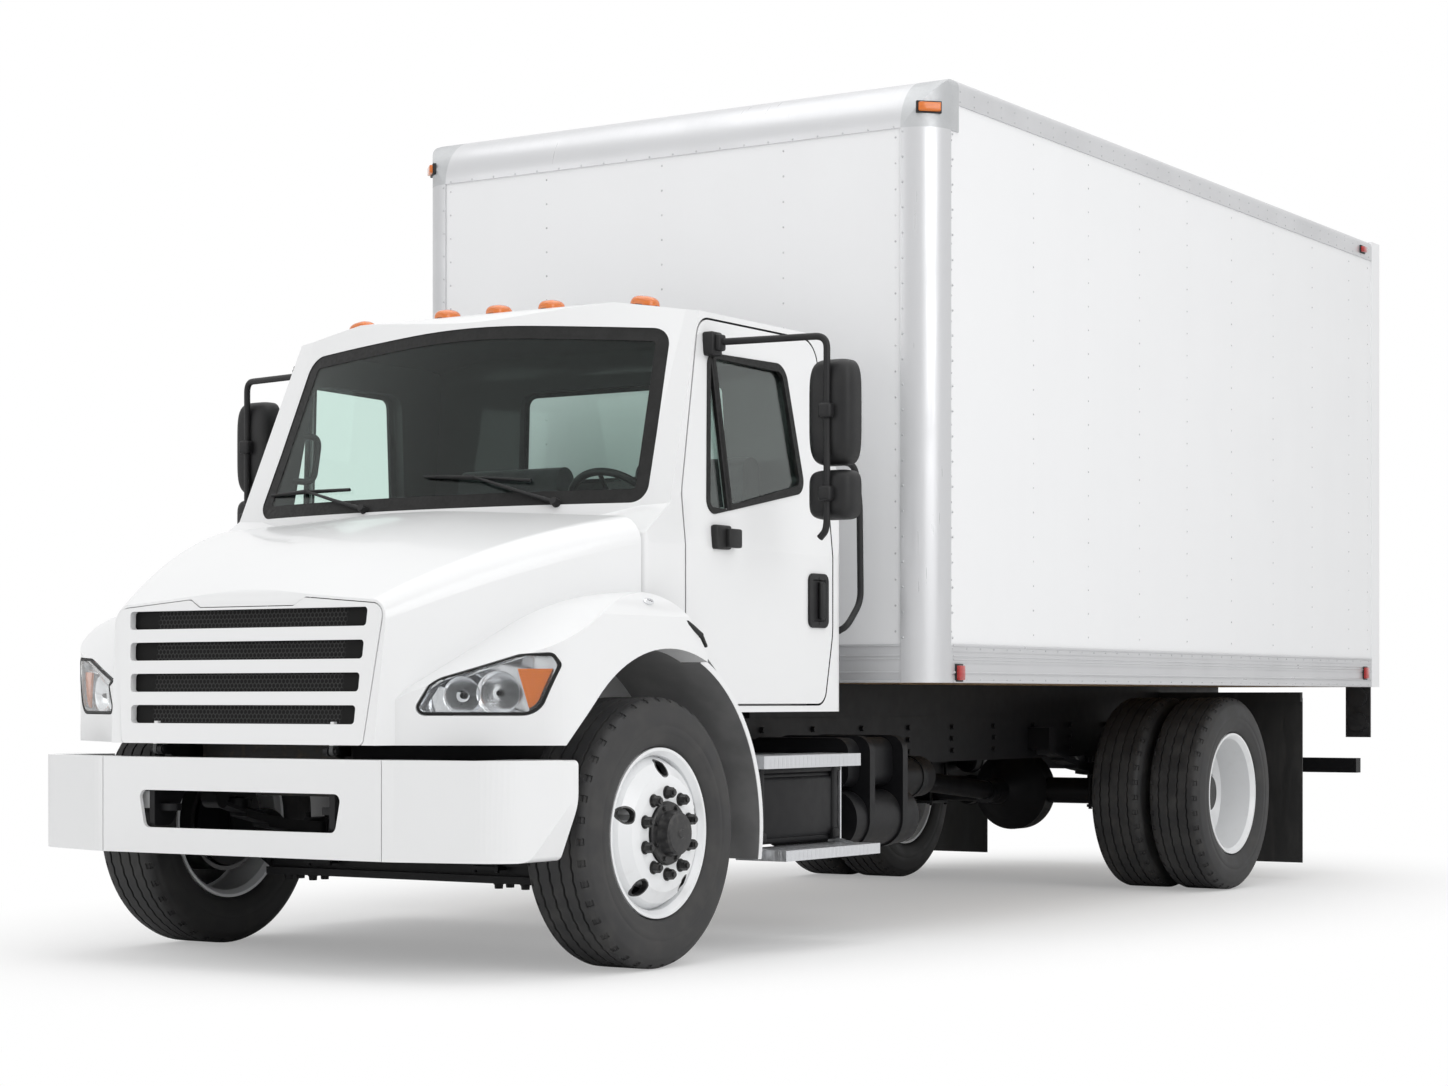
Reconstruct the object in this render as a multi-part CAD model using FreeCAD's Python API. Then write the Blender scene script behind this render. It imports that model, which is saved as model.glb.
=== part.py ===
import FreeCAD, Part
import math
import os

from FreeCAD import Vector

# Medium-duty box truck in millimetres. Up is +Z and the ground is z = 0, forward is -Y, and the
# driver's side is +X. Places along Y count from the front axle until a node is written, and X
# values are distances from the truck's middle plane, because the right side mirrors the left.

# Running gear
WHEELBASE = 4980
TYRE_R = 476
TYRE_WIDTH = 275
RIM_R = 286
RIM_FLANGE_R = 299
RIM_WIDTH = 236
FRONT_TYRE_X = 1000
DUAL_MATE_X = 925
DUAL_SPACING = 310
KINGPIN_X = 840
KINGPIN_R = 20
SPINDLE_R = 40
REAR_SPINDLE_R = 55
STEER_ARM = 200
RUN_CLEAR = 0.1
AXLE_Z = TYRE_R
ARCH_R = 645

# Frame
RAIL_X = 432
RAIL_FLANGE = 80
RAIL_TOP = 865
RAIL_HEIGHT = 210
RAIL_WEB = 9
RAIL_FRONT = -835
RAIL_REAR = 6640
SPRING_X = 395
REAR_SPRING_X = 510
TOW_PIN = (367, -868)
TOW_PIN_Z = 565
TOW_PIN_R = 18
TOW_NOTCH = 32
HORN_X = RAIL_X - 32
SEAT_GAP = 0.2

# Bumper
BUMPER_FRONT = -935
BUMPER_TOP = 742
BUMPER_BOTTOM = 405
BUMPER_HALF = 1170
BUMPER_SEAM_X = 637
BUMPER_CORE_X = 950
BUMPER_WALL = 14

# Hood
HOOD_BOTTOM = 790
HOOD_REAR = 15
HOOD_WALL = 22
FENDER_X = 1165
HOOD_PIVOT = (-905, 768)
HOOD_HINGE_X = 400

# Cab
CAB_HALF = 1040
CAB_FRONT = 25
CAB_REAR = 1420
SILL_Z = 896
BELT_Z = 1500
ROOF_Z = 2447
CAB_WALL = 45
WINDSHIELD_SLOPE = 0.41
GLASS_APEX = -109
BOW_HALF = 900
BOW_SLOPE = 0.252
BOW_FLAT = 8
SIDE_LEAN = 0.093
DOOR_THICK = 60
DOOR_GAP = 8
SWING_GAP = 5.5
DOOR_HINGE = (1028, 305)
DOOR_HINGE_Z = (1220, 1450)
DOOR_PIN_R = 5
GLASS = 6

# Van body
BODY_FRONT = 1672
BODY_REAR = 6812
BODY_HALF = 1300
BODY_TOP = 3440
RAIL_BOTTOM_Z = 1010
DECK_Z = 1170
BODY_WALL = 45
POST_R = 150
NOSE_R = 215
REAR_FRAME_Y = 6690
TOP_RAIL_HEIGHT = 105
CLADDING = 6

Y_MID = (BUMPER_FRONT + BODY_REAR) / 2

NORMAL = {"side": Vector(1, 0, 0), "front": Vector(0, 1, 0), "plan": Vector(0, 0, 1)}


def point(u, v, plane, depth):
    """Space point of a drawing plane: side holds (y, z), front holds (x, z), plan holds (x, y)."""
    if plane == "side":
        return Vector(depth, u, v)
    if plane == "front":
        return Vector(u, depth, v)
    return Vector(u, v, depth)


def outline(corners, plane, depth=0):
    """Face inside the corners (u, v, radius), each one sharp or rounded by an arc."""
    ends = []
    for i, (u, v, *radius) in enumerate(corners):
        here = point(u, v, plane, depth)
        if not radius or radius[0] <= 0:
            ends.append((here, None, here))
            continue
        last, after = corners[i - 1], corners[(i + 1) % len(corners)]
        back = (point(last[0], last[1], plane, depth) - here).normalize()
        ahead = (point(after[0], after[1], plane, depth) - here).normalize()
        half = back.getAngle(ahead) / 2
        reach = radius[0] / math.tan(half)
        middle = (back + ahead).normalize() * (radius[0] / math.sin(half) - radius[0])
        ends.append((here + back * reach, here + middle, here + ahead * reach))
    edges = []
    for i, (start, middle, end) in enumerate(ends):
        if middle:
            edges.append(Part.Arc(start, middle, end).toShape())
        following = ends[(i + 1) % len(ends)][0]
        if end.distanceToPoint(following) > 0.01:
            edges.append(Part.makeLine(end, following))
    return Part.Face(Part.Wire(edges))


def shrink(corners, inset):
    """The same corners moved inwards by the inset, with their radii kept concentric."""
    count = len(corners)
    area = sum(
        corners[i - 1][0] * corners[i][1] - corners[i][0] * corners[i - 1][1] for i in range(count)
    )
    turn = 1 if area > 0 else -1
    moved = []
    for i, (u, v, *radius) in enumerate(corners):
        last, after = corners[i - 1], corners[(i + 1) % count]
        a = Vector(u - last[0], v - last[1], 0).normalize()
        b = Vector(after[0] - u, after[1] - v, 0).normalize()
        inward_a = Vector(-a.y, a.x, 0) * turn
        inward_b = Vector(-b.y, b.x, 0) * turn
        shift = (inward_a + inward_b) * (inset / (1 + inward_a.dot(inward_b)))
        convex = a.cross(b).z * turn > 0
        size = radius[0] if radius else 0
        if size:
            size = max(size - inset, 1) if convex else size + inset
        moved.append((u + shift.x, v + shift.y, size))
    return moved


def shrink_open(corners, inset, drop=0):
    """As shrink, but the lowest corners keep their level, or drop below it to cut an open floor."""
    level = min(corner[1] for corner in corners)
    fitted = shrink(corners, inset)
    return [
        (u, level - drop if old[1] == level else v, r)
        for (u, v, r), old in zip(fitted, corners)
    ]


def mirror_pairs(half_corners):
    """A whole front or plan outline from its +X half, listed from the middle round to the middle."""
    other = [(-u, v, *radius) for u, v, *radius in reversed(half_corners) if abs(u) > 0.01]
    return list(half_corners) + other


def prism(corners, plane, low, high):
    return outline(corners, plane, low).extrude(NORMAL[plane] * (high - low))


def box(x, y, z):
    """Block between two limits along each axis."""
    return Part.makeBox(x[1] - x[0], y[1] - y[0], z[1] - z[0], Vector(x[0], y[0], z[0]))


def rod(start, end, radius):
    """Round bar from point to point."""
    a, b = Vector(*start), Vector(*end)
    return Part.makeCylinder(radius, a.distanceToPoint(b), a, b - a)


def joined(*shapes):
    whole = shapes[0].fuse(list(shapes[1:])) if len(shapes) > 1 else shapes[0]
    return whole.removeSplitter()


def both(shape):
    """The piece and its mirror image on the other side of the truck."""
    return [shape, mirrored(shape)]


def mirrored(shape):
    return shape.mirror(Vector(0, 0, 0), Vector(1, 0, 0))


def turned(section, x, y, z=AXLE_Z):
    """Wheel piece: the section (x offset, radius) turned about the axle line."""
    points = [Vector(x + dx, y, z + r) for dx, r in section]
    face = Part.Face(Part.makePolygon(points + [points[0]]))
    return face.revolve(Vector(x, y, z), Vector(1, 0, 0), 360)


def node(name, *shapes):
    """Writes one node: its solids, moved so that the truck's middle is at y = 0."""
    solids = [solid for shape in shapes for solid in shape.Solids]
    whole = solids[0] if len(solids) == 1 else Part.makeCompound(solids)
    whole = whole.copy()
    whole.translate(Vector(0, -Y_MID, 0))
    whole.exportStep(f"parts/{name}.step")


os.makedirs("parts", exist_ok=True)


# ---------------------------------------------------------------- wheels
# A truck tyre's section round a drop-centre rim; the tread lies flat on the ground.
def tyre(x, y):
    half = TYRE_WIDTH / 2
    bead = RIM_WIDTH / 2 - 14
    section = [
        (-bead, RIM_R),
        (-bead, RIM_FLANGE_R + 3),
        (-half, TYRE_R - 96),
        (-half + 10, TYRE_R - 28),
        (-half + 40, TYRE_R),
    ]
    section += [(-dx, r) for dx, r in reversed(section)]
    return turned(section, x, y)


def hand_holes(x, y, length, radius=26, count=5):
    """Round ventilation holes through a wheel's disc."""
    ring_r = 226
    tools = []
    for k in range(count):
        angle = math.radians(360 / count * k + 90)
        across = y + ring_r * math.cos(angle)
        up = AXLE_Z + ring_r * math.sin(angle)
        tools.append(rod((x, across, up), (x + length, across, up), radius))
    return tools


def front_rim():
    """Rim, convex disc, hub with its cap, and brake drum, as one turned piece."""
    edge = RIM_WIDTH / 2
    section = [
        (edge, RIM_FLANGE_R), (edge - 12, RIM_FLANGE_R), (edge - 14, RIM_R),
        (14 - edge, RIM_R), (12 - edge, RIM_FLANGE_R), (-edge, RIM_FLANGE_R),
        (-edge, RIM_R + 2), (20 - edge, RIM_R - 14), (50, RIM_R - 14),
        (98, 232), (124, 196), (-92, 196), (-92, 180), (100, 180), (100, 75), (-60, 75),
        (-60, SPINDLE_R + RUN_CLEAR), (150, SPINDLE_R + RUN_CLEAR), (150, 0), (206, 0), (206, 62),
        (148, 70), (148, 165), (140, 205), (112, 246), (66, RIM_R - 14), (edge - 20, RIM_R - 14),
        (edge, RIM_R + 2),
    ]
    body = turned(section, FRONT_TYRE_X, 0)
    return body.cut(hand_holes(FRONT_TYRE_X + 60, 0, 100))


def rear_rims():
    """Twin rims bolted face to face on the hub, with the brake drum behind them."""
    offset = DUAL_SPACING / 2
    edge = RIM_WIDTH / 2
    single = [
        (edge, RIM_FLANGE_R), (edge - 12, RIM_FLANGE_R), (edge - 14, RIM_R),
        (14 - edge, RIM_R), (12 - edge, RIM_FLANGE_R), (-edge, RIM_FLANGE_R),
        (-edge, RIM_R + 2), (20 - edge, RIM_R - 14), (-76, RIM_R - 14), (-130, 225), (-153, 185),
        (-offset, 165), (-offset, 104), (12 - offset, 104), (12 - offset, 165), (-138, 190),
        (-115, 232), (-58, RIM_R - 14), (edge - 20, RIM_R - 14), (edge, RIM_R + 2),
    ]
    inner = [(-dx, r) for dx, r in single]
    hub = [
        (-12, 104), (-12, 165), (-32, 165), (-32, 196), (-225, 196), (-225, 180), (-50, 180),
        (-50, 90), (-225, 90), (-225, REAR_SPINDLE_R + RUN_CLEAR), (75, REAR_SPINDLE_R + RUN_CLEAR),
        (75, 0), (150, 0), (150, 84), (128, 88), (118, 104),
    ]
    pieces = joined(
        turned(single, DUAL_MATE_X + offset, WHEELBASE),
        turned(inner, DUAL_MATE_X - offset, WHEELBASE),
        turned(hub, DUAL_MATE_X, WHEELBASE),
    )
    return pieces.cut(hand_holes(DUAL_MATE_X - 110, WHEELBASE, 220))


front_tyre = tyre(FRONT_TYRE_X, 0)
node("front_tyre_left", front_tyre)
node("front_tyre_right", mirrored(front_tyre))
rim = front_rim()
node("front_rim_left", rim)
node("front_rim_right", mirrored(rim))
twins = [tyre(DUAL_MATE_X + side * DUAL_SPACING / 2, WHEELBASE) for side in (1, -1)]
node("rear_tyres_left", *twins)
node("rear_tyres_right", *[mirrored(piece) for piece in twins])
rims = rear_rims()
node("rear_rims_left", rims)
node("rear_rims_right", mirrored(rims))


# ---------------------------------------------------------------- steering and axles
# Each knuckle holds the axle's boss between two ears on the kingpin, and carries the spindle, the
# brake's backing plate and a track-rod arm that points straight back.
def knuckle():
    boss = 45
    ear = 38
    gap = 2
    plate_x = KINGPIN_X + 50
    pieces = [rod((KINGPIN_X, 0, AXLE_Z - 92), (KINGPIN_X, 0, AXLE_Z + 92), KINGPIN_R)]
    for low in (AXLE_Z - boss - gap - ear, AXLE_Z + boss + gap):
        pieces.append(rod((KINGPIN_X, 0, low), (KINGPIN_X, 0, low + ear), 44))
        pieces.append(box((KINGPIN_X, plate_x + 12), (-36, 36), (low, low + ear)))
    reach = boss + gap + ear
    pieces.append(box((plate_x - 2, plate_x + 12), (-60, 60), (AXLE_Z - reach, AXLE_Z + reach)))
    pieces.append(rod((plate_x, 0, AXLE_Z), (plate_x + 8, 0, AXLE_Z), 174))
    pieces.append(rod((plate_x, 0, AXLE_Z), (FRONT_TYRE_X + 142, 0, AXLE_Z), SPINDLE_R))
    arm = (AXLE_Z - reach, AXLE_Z - reach + 28)
    pieces.append(box((KINGPIN_X - 20, KINGPIN_X + 20), (0, STEER_ARM), arm))
    pieces.append(rod((KINGPIN_X, STEER_ARM, arm[0]), (KINGPIN_X, STEER_ARM, arm[1]), 27))
    pieces.append(rod((KINGPIN_X, STEER_ARM, arm[0] - 46), (KINGPIN_X, STEER_ARM, arm[0]), 11))
    return joined(*pieces)


def tie_rod():
    """Track rod with an eye round each arm's stud."""
    top = AXLE_Z - 85 - 5
    eye = 34
    bar = rod((24 - KINGPIN_X, STEER_ARM, top - eye / 2), (KINGPIN_X - 24, STEER_ARM, top - eye / 2), 16)
    pieces = [bar]
    bores = []
    for x in (-KINGPIN_X, KINGPIN_X):
        pieces.append(rod((x, STEER_ARM, top - eye), (x, STEER_ARM, top), 27))
        bores.append(rod((x, STEER_ARM, top - eye - 9), (x, STEER_ARM, top + 9), 11 + RUN_CLEAR))
    return joined(*pieces).cut(bores)


def front_axle():
    """Dropped I-beam between the kingpins."""
    drop = 340
    half = mirror_pairs([
        (0, drop), (590, drop, 90), (705, AXLE_Z - 45, 90), (KINGPIN_X, AXLE_Z - 45),
        (KINGPIN_X, AXLE_Z + 45), (690, AXLE_Z + 45, 90), (580, drop + 88, 90), (0, drop + 88),
    ])
    beam = prism(half, "front", -38, 38)
    grooves = []
    for y in ((-39, -16), (16, 39)):
        grooves.append(box((-560, -460), y, (drop + 16, drop + 72)))
        grooves.append(box((-330, 330), y, (drop + 16, drop + 72)))
        grooves.append(box((460, 560), y, (drop + 16, drop + 72)))
    bores = []
    for x in (-KINGPIN_X, KINGPIN_X):
        beam = beam.fuse(rod((x, 0, AXLE_Z - 45), (x, 0, AXLE_Z + 45), 40))
        bores.append(rod((x, 0, AXLE_Z - 60), (x, 0, AXLE_Z + 60), KINGPIN_R + RUN_CLEAR))
    return beam.removeSplitter().cut(grooves + bores)


def rear_axle():
    """Axle tubes with the differential's round banjo and its pinion nose."""
    profile = [
        (-290, 0), (-290, 62), (-215, 70), (-120, 150), (-62, 205), (40, 205), (105, 150),
        (130, 60), (130, 0),
    ]
    points = [Vector(r, WHEELBASE + dy, AXLE_Z) for dy, r in profile]
    face = Part.Face(Part.makePolygon(points + [points[0]]))
    banjo = face.revolve(Vector(0, WHEELBASE, AXLE_Z), Vector(0, 1, 0), 360)
    tube_end = DUAL_MATE_X - 235
    tube = rod((-tube_end, WHEELBASE, AXLE_Z), (tube_end, WHEELBASE, AXLE_Z), 66)
    tip = DUAL_MATE_X + 70
    spindle = rod((-tip, WHEELBASE, AXLE_Z), (tip, WHEELBASE, AXLE_Z), REAR_SPINDLE_R)
    return joined(banjo, tube, spindle)


hub_carrier = knuckle()
node("knuckle_left", hub_carrier)
node("knuckle_right", mirrored(hub_carrier))
node("tie_rod", tie_rod())
node("axles", front_axle(), rear_axle())


# Leaf springs: concentric arcs of falling length, with eyes, hangers and U-bolts.
def leaf_spring(x, y, seat, half_span, rise, leaves, hanger, clamp):
    thick = 14
    width = 76
    radius = (half_span ** 2 + rise ** 2) / (2 * rise)
    centre_z = seat + leaves * thick + radius
    pieces = []
    for k in range(leaves):
        reach = half_span * (1 - 0.2 * k)
        inner = radius + k * thick
        outer = inner + thick
        ends = []
        for r in (inner, outer):
            swing = reach / radius
            ends.append([
                Vector(x - width / 2, y + r * math.sin(a), centre_z - r * math.cos(a))
                for a in (-swing, 0, swing)
            ])
        low, high = ends[1], ends[0]
        wire = Part.Wire([
            Part.Arc(*low).toShape(), Part.makeLine(low[2], high[2]),
            Part.Arc(*reversed(high)).toShape(), Part.makeLine(high[0], low[0]),
        ])
        pieces.append(Part.Face(wire).extrude(Vector(width, 0, 0)))
    eye_z = centre_z - radius * math.cos(half_span / radius)
    for side in (-1, 1):
        eye_y = y + side * half_span
        pieces.append(rod((x - width / 2, eye_y, eye_z), (x + width / 2, eye_y, eye_z), 28))
        pieces.append(box(hanger[0], (eye_y - 34, eye_y + 34), (eye_z, hanger[1])))
    bolt_y, low_z = clamp
    top_z = seat + leaves * thick + 14
    bolt_r = 9
    bolt_reach = width / 2 + bolt_r + 4
    plate_x = (x - bolt_reach - 13, x + bolt_reach + 13)
    plate_y = (y - bolt_y - 13, y + bolt_y + 13)
    pieces.append(box(plate_x, plate_y, (top_z - 20, top_z)))
    pieces.append(box(plate_x, plate_y, (low_z - 14, low_z)))
    for bolt_x in (x - bolt_reach, x + bolt_reach):
        for side in (-1, 1):
            foot = (bolt_x, y + side * bolt_y, low_z - 24)
            pieces.append(rod(foot, (bolt_x, y + side * bolt_y, top_z + 20), bolt_r))
    return joined(*pieces)


RAIL_BOTTOM = RAIL_TOP - RAIL_HEIGHT
front_hanger = ((SPRING_X - 38, SPRING_X + 37), RAIL_BOTTOM)
rear_hanger = ((RAIL_X, REAR_SPRING_X + 38), RAIL_TOP - 60)
front_spring = leaf_spring(SPRING_X, 0, 428, 620, 100, 4, front_hanger, (52, 340))
rear_spring = leaf_spring(
    REAR_SPRING_X, WHEELBASE, AXLE_Z + 66, 700, 90, 5, rear_hanger, (80, AXLE_Z - 66)
)
node("leaf_springs", *both(front_spring), *both(rear_spring))


# ---------------------------------------------------------------- frame and power train
# Two channel rails with an open side inwards.
def frame_rail():
    outer = box((RAIL_X - RAIL_FLANGE, RAIL_X), (RAIL_FRONT, RAIL_REAR), (RAIL_BOTTOM, RAIL_TOP))
    hollow = box(
        (RAIL_X - RAIL_FLANGE - 1, RAIL_X - RAIL_WEB),
        (RAIL_FRONT - 1, RAIL_REAR + 1),
        (RAIL_BOTTOM + RAIL_WEB, RAIL_TOP - RAIL_WEB),
    )
    return outer.cut(hollow)


def frame_horn(rail):
    """What is bolted to a rail's nose: bumper horn, tow tongue, and bracket for the hood's pivot."""
    inner_face = BUMPER_FRONT + BUMPER_WALL + SEAT_GAP
    horn = prism(
        [
            (inner_face, 500, 12), (inner_face, 690, 12), (RAIL_FRONT, 728), (RAIL_FRONT + 90, 728),
            (RAIL_FRONT + 90, RAIL_BOTTOM), (RAIL_FRONT, 500, 40),
        ],
        "side", HORN_X, RAIL_X - 8,
    ).cut(rail)
    y, z = HOOD_PIVOT
    ear = prism(
        [
            (y - 16, z - 16, 15), (y + 50, z - 16), (RAIL_FRONT + 60, z - 60),
            (RAIL_FRONT + 60, z + 16), (y - 16, z + 16, 15),
        ],
        "side", HOOD_HINGE_X - 30, HOOD_HINGE_X - 10,
    )
    pin = rod((HOOD_HINGE_X - 34, y, z), (HOOD_HINGE_X + 24, y, z), 10)
    foot = box((HOOD_HINGE_X - 30, RAIL_X - 8), (RAIL_FRONT, RAIL_FRONT + 60), (z - 78, z - 18))
    bracket = joined(ear, pin, foot).cut([horn, rail])
    pin_x, pin_y = TOW_PIN
    tongue = prism(
        [
            (pin_x - 35, pin_y - 27, 25), (HORN_X, pin_y - 27), (HORN_X, pin_y + 27),
            (pin_x - 35, pin_y + 27, 25),
        ],
        "plan", TOW_PIN_Z - 12, TOW_PIN_Z + 12,
    )
    pin_hole = rod((pin_x, pin_y, TOW_PIN_Z - 20), (pin_x, pin_y, TOW_PIN_Z + 20), TOW_PIN_R)
    return [horn, tongue.cut(pin_hole), bracket]


rail = frame_rail()
node("frame_rails", *both(rail))
horn_pieces = frame_horn(rail)
node("frame_horns", *horn_pieces, *[mirrored(piece) for piece in horn_pieces])

# Cross members as (y, half length along Y, bottom z, top z)
CROSS_MEMBERS = [
    (-690, 45, RAIL_BOTTOM + RAIL_WEB, 712),
    (1250, 40, 745, 850),
    (2900, 40, 745, 850),
    (3950, 40, 745, 850),
    (5650, 40, 690, 850),
    (6590, 40, 690, 850),
]
web_x = RAIL_X - RAIL_WEB
members = []
for y, half, low, high in CROSS_MEMBERS:
    channel = box((-web_x, web_x), (y - half, y + half), (low, high))
    groove = box((30 - web_x, web_x - 30), (y - half + 8, y + half + 1), (low + 8, high - 8))
    members.append(channel.cut(groove) if high > 800 else channel)
node("cross_members", *members)


GEARBOX_END = 1120


def engine():
    """Engine as one plain block with its gearbox behind it, carried on side lugs."""
    block = prism(
        mirror_pairs([(0, 600), (230, 600, 30), (290, 700), (290, 1090, 40), (190, 1290, 40), (0, 1290)]),
        "front", -560, 180,
    )
    bell = prism(
        mirror_pairs([
            (0, 170), (210, 170), (210, 420), (130, 560), (130, GEARBOX_END), (0, GEARBOX_END),
        ]),
        "plan", 540, 820,
    )
    lugs = box((-web_x, web_x), (-120, -20), (700, 790))
    return joined(block, bell, lugs)


node("engine_block", engine())
radiator = box((-345, 345), (-735, -645), (712, 1230))
node("radiator", radiator)

SHAFT_R = 48
BEARING = (0, 2900, 640)
PINION_Y = WHEELBASE - 290
front_shaft = rod((0, GEARBOX_END + 20, 660), BEARING, SHAFT_R)
front_yoke = rod((0, GEARBOX_END, 660), (0, GEARBOX_END + 60, 660), SHAFT_R + 14)
rear_shaft = rod(BEARING, (0, PINION_Y - 20, AXLE_Z + 2), SHAFT_R)
rear_yoke = rod((0, PINION_Y - 70, AXLE_Z), (0, PINION_Y, AXLE_Z), SHAFT_R + 12)
bearing_hanger = box((-75, 75), (BEARING[1] - 20, BEARING[1] + 20), (570, 745))
node("driveshaft", joined(front_shaft, front_yoke, rear_shaft, rear_yoke, bearing_hanger))


# ---------------------------------------------------------------- side equipment
# Battery box, fuel tank and steps on the left; an exhaust canister and steps on the right.
STEP_Y = (675, 1390)
BOX_X = (700, 1050)


def steps():
    upper = box((930, 1130), STEP_Y, (685, 733))
    lower = box((1000, 1220), (STEP_Y[0] + 8, STEP_Y[1] - 5), (345, 385))
    risers = []
    for y in (STEP_Y[0] + 30, STEP_Y[1] - 40):
        risers.append(prism(
            [(RAIL_X, 690), (RAIL_X, 730), (1000, 730), (1060, 680), (1060, 400), (1150, 380),
             (1150, 350), (1005, 350), (1005, 660), (960, 690)],
            "front", y, y + 10,
        ))
    return joined(upper, lower, *risers)


left_steps = steps()
node("cab_steps", left_steps, mirrored(left_steps))
battery_box = prism(
    [(BOX_X[0], 397, 20), (BOX_X[1], 397, 20), (BOX_X[1], 672, 20), (BOX_X[0], 672, 20)],
    "front", STEP_Y[0] + 41, STEP_Y[1] - 41,
)
battery_hanger = box((RAIL_X, BOX_X[0]), (780, 840), (600, 672))
battery_hanger_rear = box((RAIL_X, BOX_X[0]), (1160, 1220), (600, 672))
node("battery_box", joined(battery_box, battery_hanger, battery_hanger_rear))
tank = prism(
    [(620, 350, 60), (1050, 350, 110), (1050, 580, 110), (620, 580, 60)], "front", 1500, 2010,
)
upper_tank = prism(
    [(560, 590, 40), (1010, 590, 60), (1010, 790, 60), (560, 790, 40)], "front", 1500, 1980,
)
straps = [
    prism([(612, 342, 66), (1058, 342, 118), (1058, 798, 66), (612, 798, 66)], "front", y, y + 40)
    for y in (1590, 1860)
]
tank_hanger = box((RAIL_X, 640), (1590, 1630), (690, 780))
tank_hanger_rear = box((RAIL_X, 640), (1860, 1900), (690, 780))
node("fuel_tank", joined(tank, upper_tank, *straps, tank_hanger, tank_hanger_rear))
canister = rod((-790, 690, 530), (-790, 1320, 530), 155)
canister_hanger = box((-790, -RAIL_X), (960, 1010), (640, 690))
tail_pipe = rod((-790, 1320, 560), (-790, 1900, 560), 55)
node("exhaust_canister", joined(canister, canister_hanger, tail_pipe))


# ---------------------------------------------------------------- bumper
# Pressed channel in three pieces, its ends swept back round the fenders.
BUMPER_PLAN = mirror_pairs([
    (0, BUMPER_FRONT), (BUMPER_SEAM_X + 30, BUMPER_FRONT, 300), (1040, BUMPER_FRONT + 105, 200),
    (BUMPER_HALF, BUMPER_FRONT + 330, 120), (BUMPER_HALF, -500), (0, -500),
])
BUMPER_FACE = mirror_pairs([
    (0, BUMPER_BOTTOM), (BUMPER_HALF - 75, BUMPER_BOTTOM, 30), (BUMPER_HALF, BUMPER_BOTTOM + 190, 200),
    (BUMPER_HALF, BUMPER_TOP, 18), (0, BUMPER_TOP),
])


def bumper_form(inset):
    plan = prism(shrink(BUMPER_PLAN, inset), "plan", BUMPER_BOTTOM - 5, BUMPER_TOP + 5)
    return plan.common(prism(shrink(BUMPER_FACE, inset), "front", -1000, -400))


bumper_shell = bumper_form(0).cut(bumper_form(BUMPER_WALL))
bumper_shell = bumper_shell.cut(
    box((-BUMPER_CORE_X, BUMPER_CORE_X), (RAIL_FRONT - 6, -400), (300, 800))
)
bumper_shell = bumper_shell.cut(box((-1300, 1300), (-560, -400), (300, 800)))
aperture = prism(
    mirror_pairs([(0, 495), (436, 495, 25), (463, 626, 25), (0, 626)]), "front", -1000, RAIL_FRONT - 40,
)
# A notch in the lower flange lets a tow pin up into its tongue.
notch_x, notch_y = TOW_PIN
notch = prism(
    [
        (notch_x - TOW_NOTCH, RAIL_FRONT), (notch_x - TOW_NOTCH, notch_y - TOW_NOTCH, 20),
        (notch_x + TOW_NOTCH, notch_y - TOW_NOTCH, 20), (notch_x + TOW_NOTCH, RAIL_FRONT),
    ],
    "plan", BUMPER_BOTTOM - 5, BUMPER_BOTTOM + BUMPER_WALL + 5,
)
bumper_shell = bumper_shell.cut(both(notch))
centre = bumper_shell.common(box((-BUMPER_SEAM_X + 2, BUMPER_SEAM_X - 2), (-1000, -400), (300, 800)))
end = bumper_shell.common(box((BUMPER_SEAM_X + 2, 1300), (-1000, -400), (300, 800)))
end_brace = box((RAIL_X - 8 + SEAT_GAP, 760), (RAIL_FRONT - 60, RAIL_FRONT - 20), (560, 620))
end_brace_foot = box((700, 760), (BUMPER_FRONT + 8, RAIL_FRONT - 20), (560, 620))
brace = joined(end_brace, end_brace_foot)
node("bumper", centre.cut(aperture), *both(joined(end, brace)))


# ---------------------------------------------------------------- hood
# The hood's crown is a loft of three sections; the fenders are where three drawn outlines meet.
# Hood sections as (y, half width, shoulder z, crown z, shoulder radius)
HOOD_SECTIONS = [
    (-960, 585, 1235, 1270, 60),
    (-430, 840, 1470, 1535, 100),
    (HOOD_REAR, 1030, 1588, 1648, 100),
]
NOSE_SIDE = [
    (-929, HOOD_BOTTOM), (-884, 1300, 60), (-600, 1600), (200, 2000), (200, HOOD_BOTTOM),
]
FENDER_SIDE = [
    (-905, HOOD_BOTTOM), (-895, 935, 200), (-330, 1290, 800), (40, 1332, 300), (237, 1095),
    (237, HOOD_BOTTOM),
]
FENDER_FRONT = mirror_pairs([
    (0, HOOD_BOTTOM), (FENDER_X + 10, HOOD_BOTTOM), (FENDER_X + 10, 1350, 190), (0, 1420),
])
FENDER_PLAN = mirror_pairs([
    (0, -895), (620, -872, 150), (FENDER_X, -556, 200), (FENDER_X, 237), (0, 237),
])


def hood_form(inset, drop=0):
    wires = []
    for y, half, shoulder, crown, radius in HOOD_SECTIONS:
        section = mirror_pairs([
            (0, HOOD_BOTTOM), (half, HOOD_BOTTOM), (half, shoulder, radius), (0, crown, half * 5),
        ])
        wires.append(outline(shrink_open(section, inset, drop), "front", y).OuterWire)
    crown_loft = Part.makeLoft(wires, True, False)
    nose = prism(shrink_open(NOSE_SIDE, inset, drop + 1), "side", -1300, 1300)
    return crown_loft.common(nose).fuse(fender_form(inset, drop))


def fender_form(inset, drop=0):
    form = prism(shrink_open(FENDER_SIDE, inset, drop), "side", -1300, 1300)
    form = form.common(prism(shrink_open(FENDER_FRONT, inset, drop), "front", -1000, 400))
    return form.common(prism(shrink(FENDER_PLAN, inset), "plan", 600, 1500))


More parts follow.
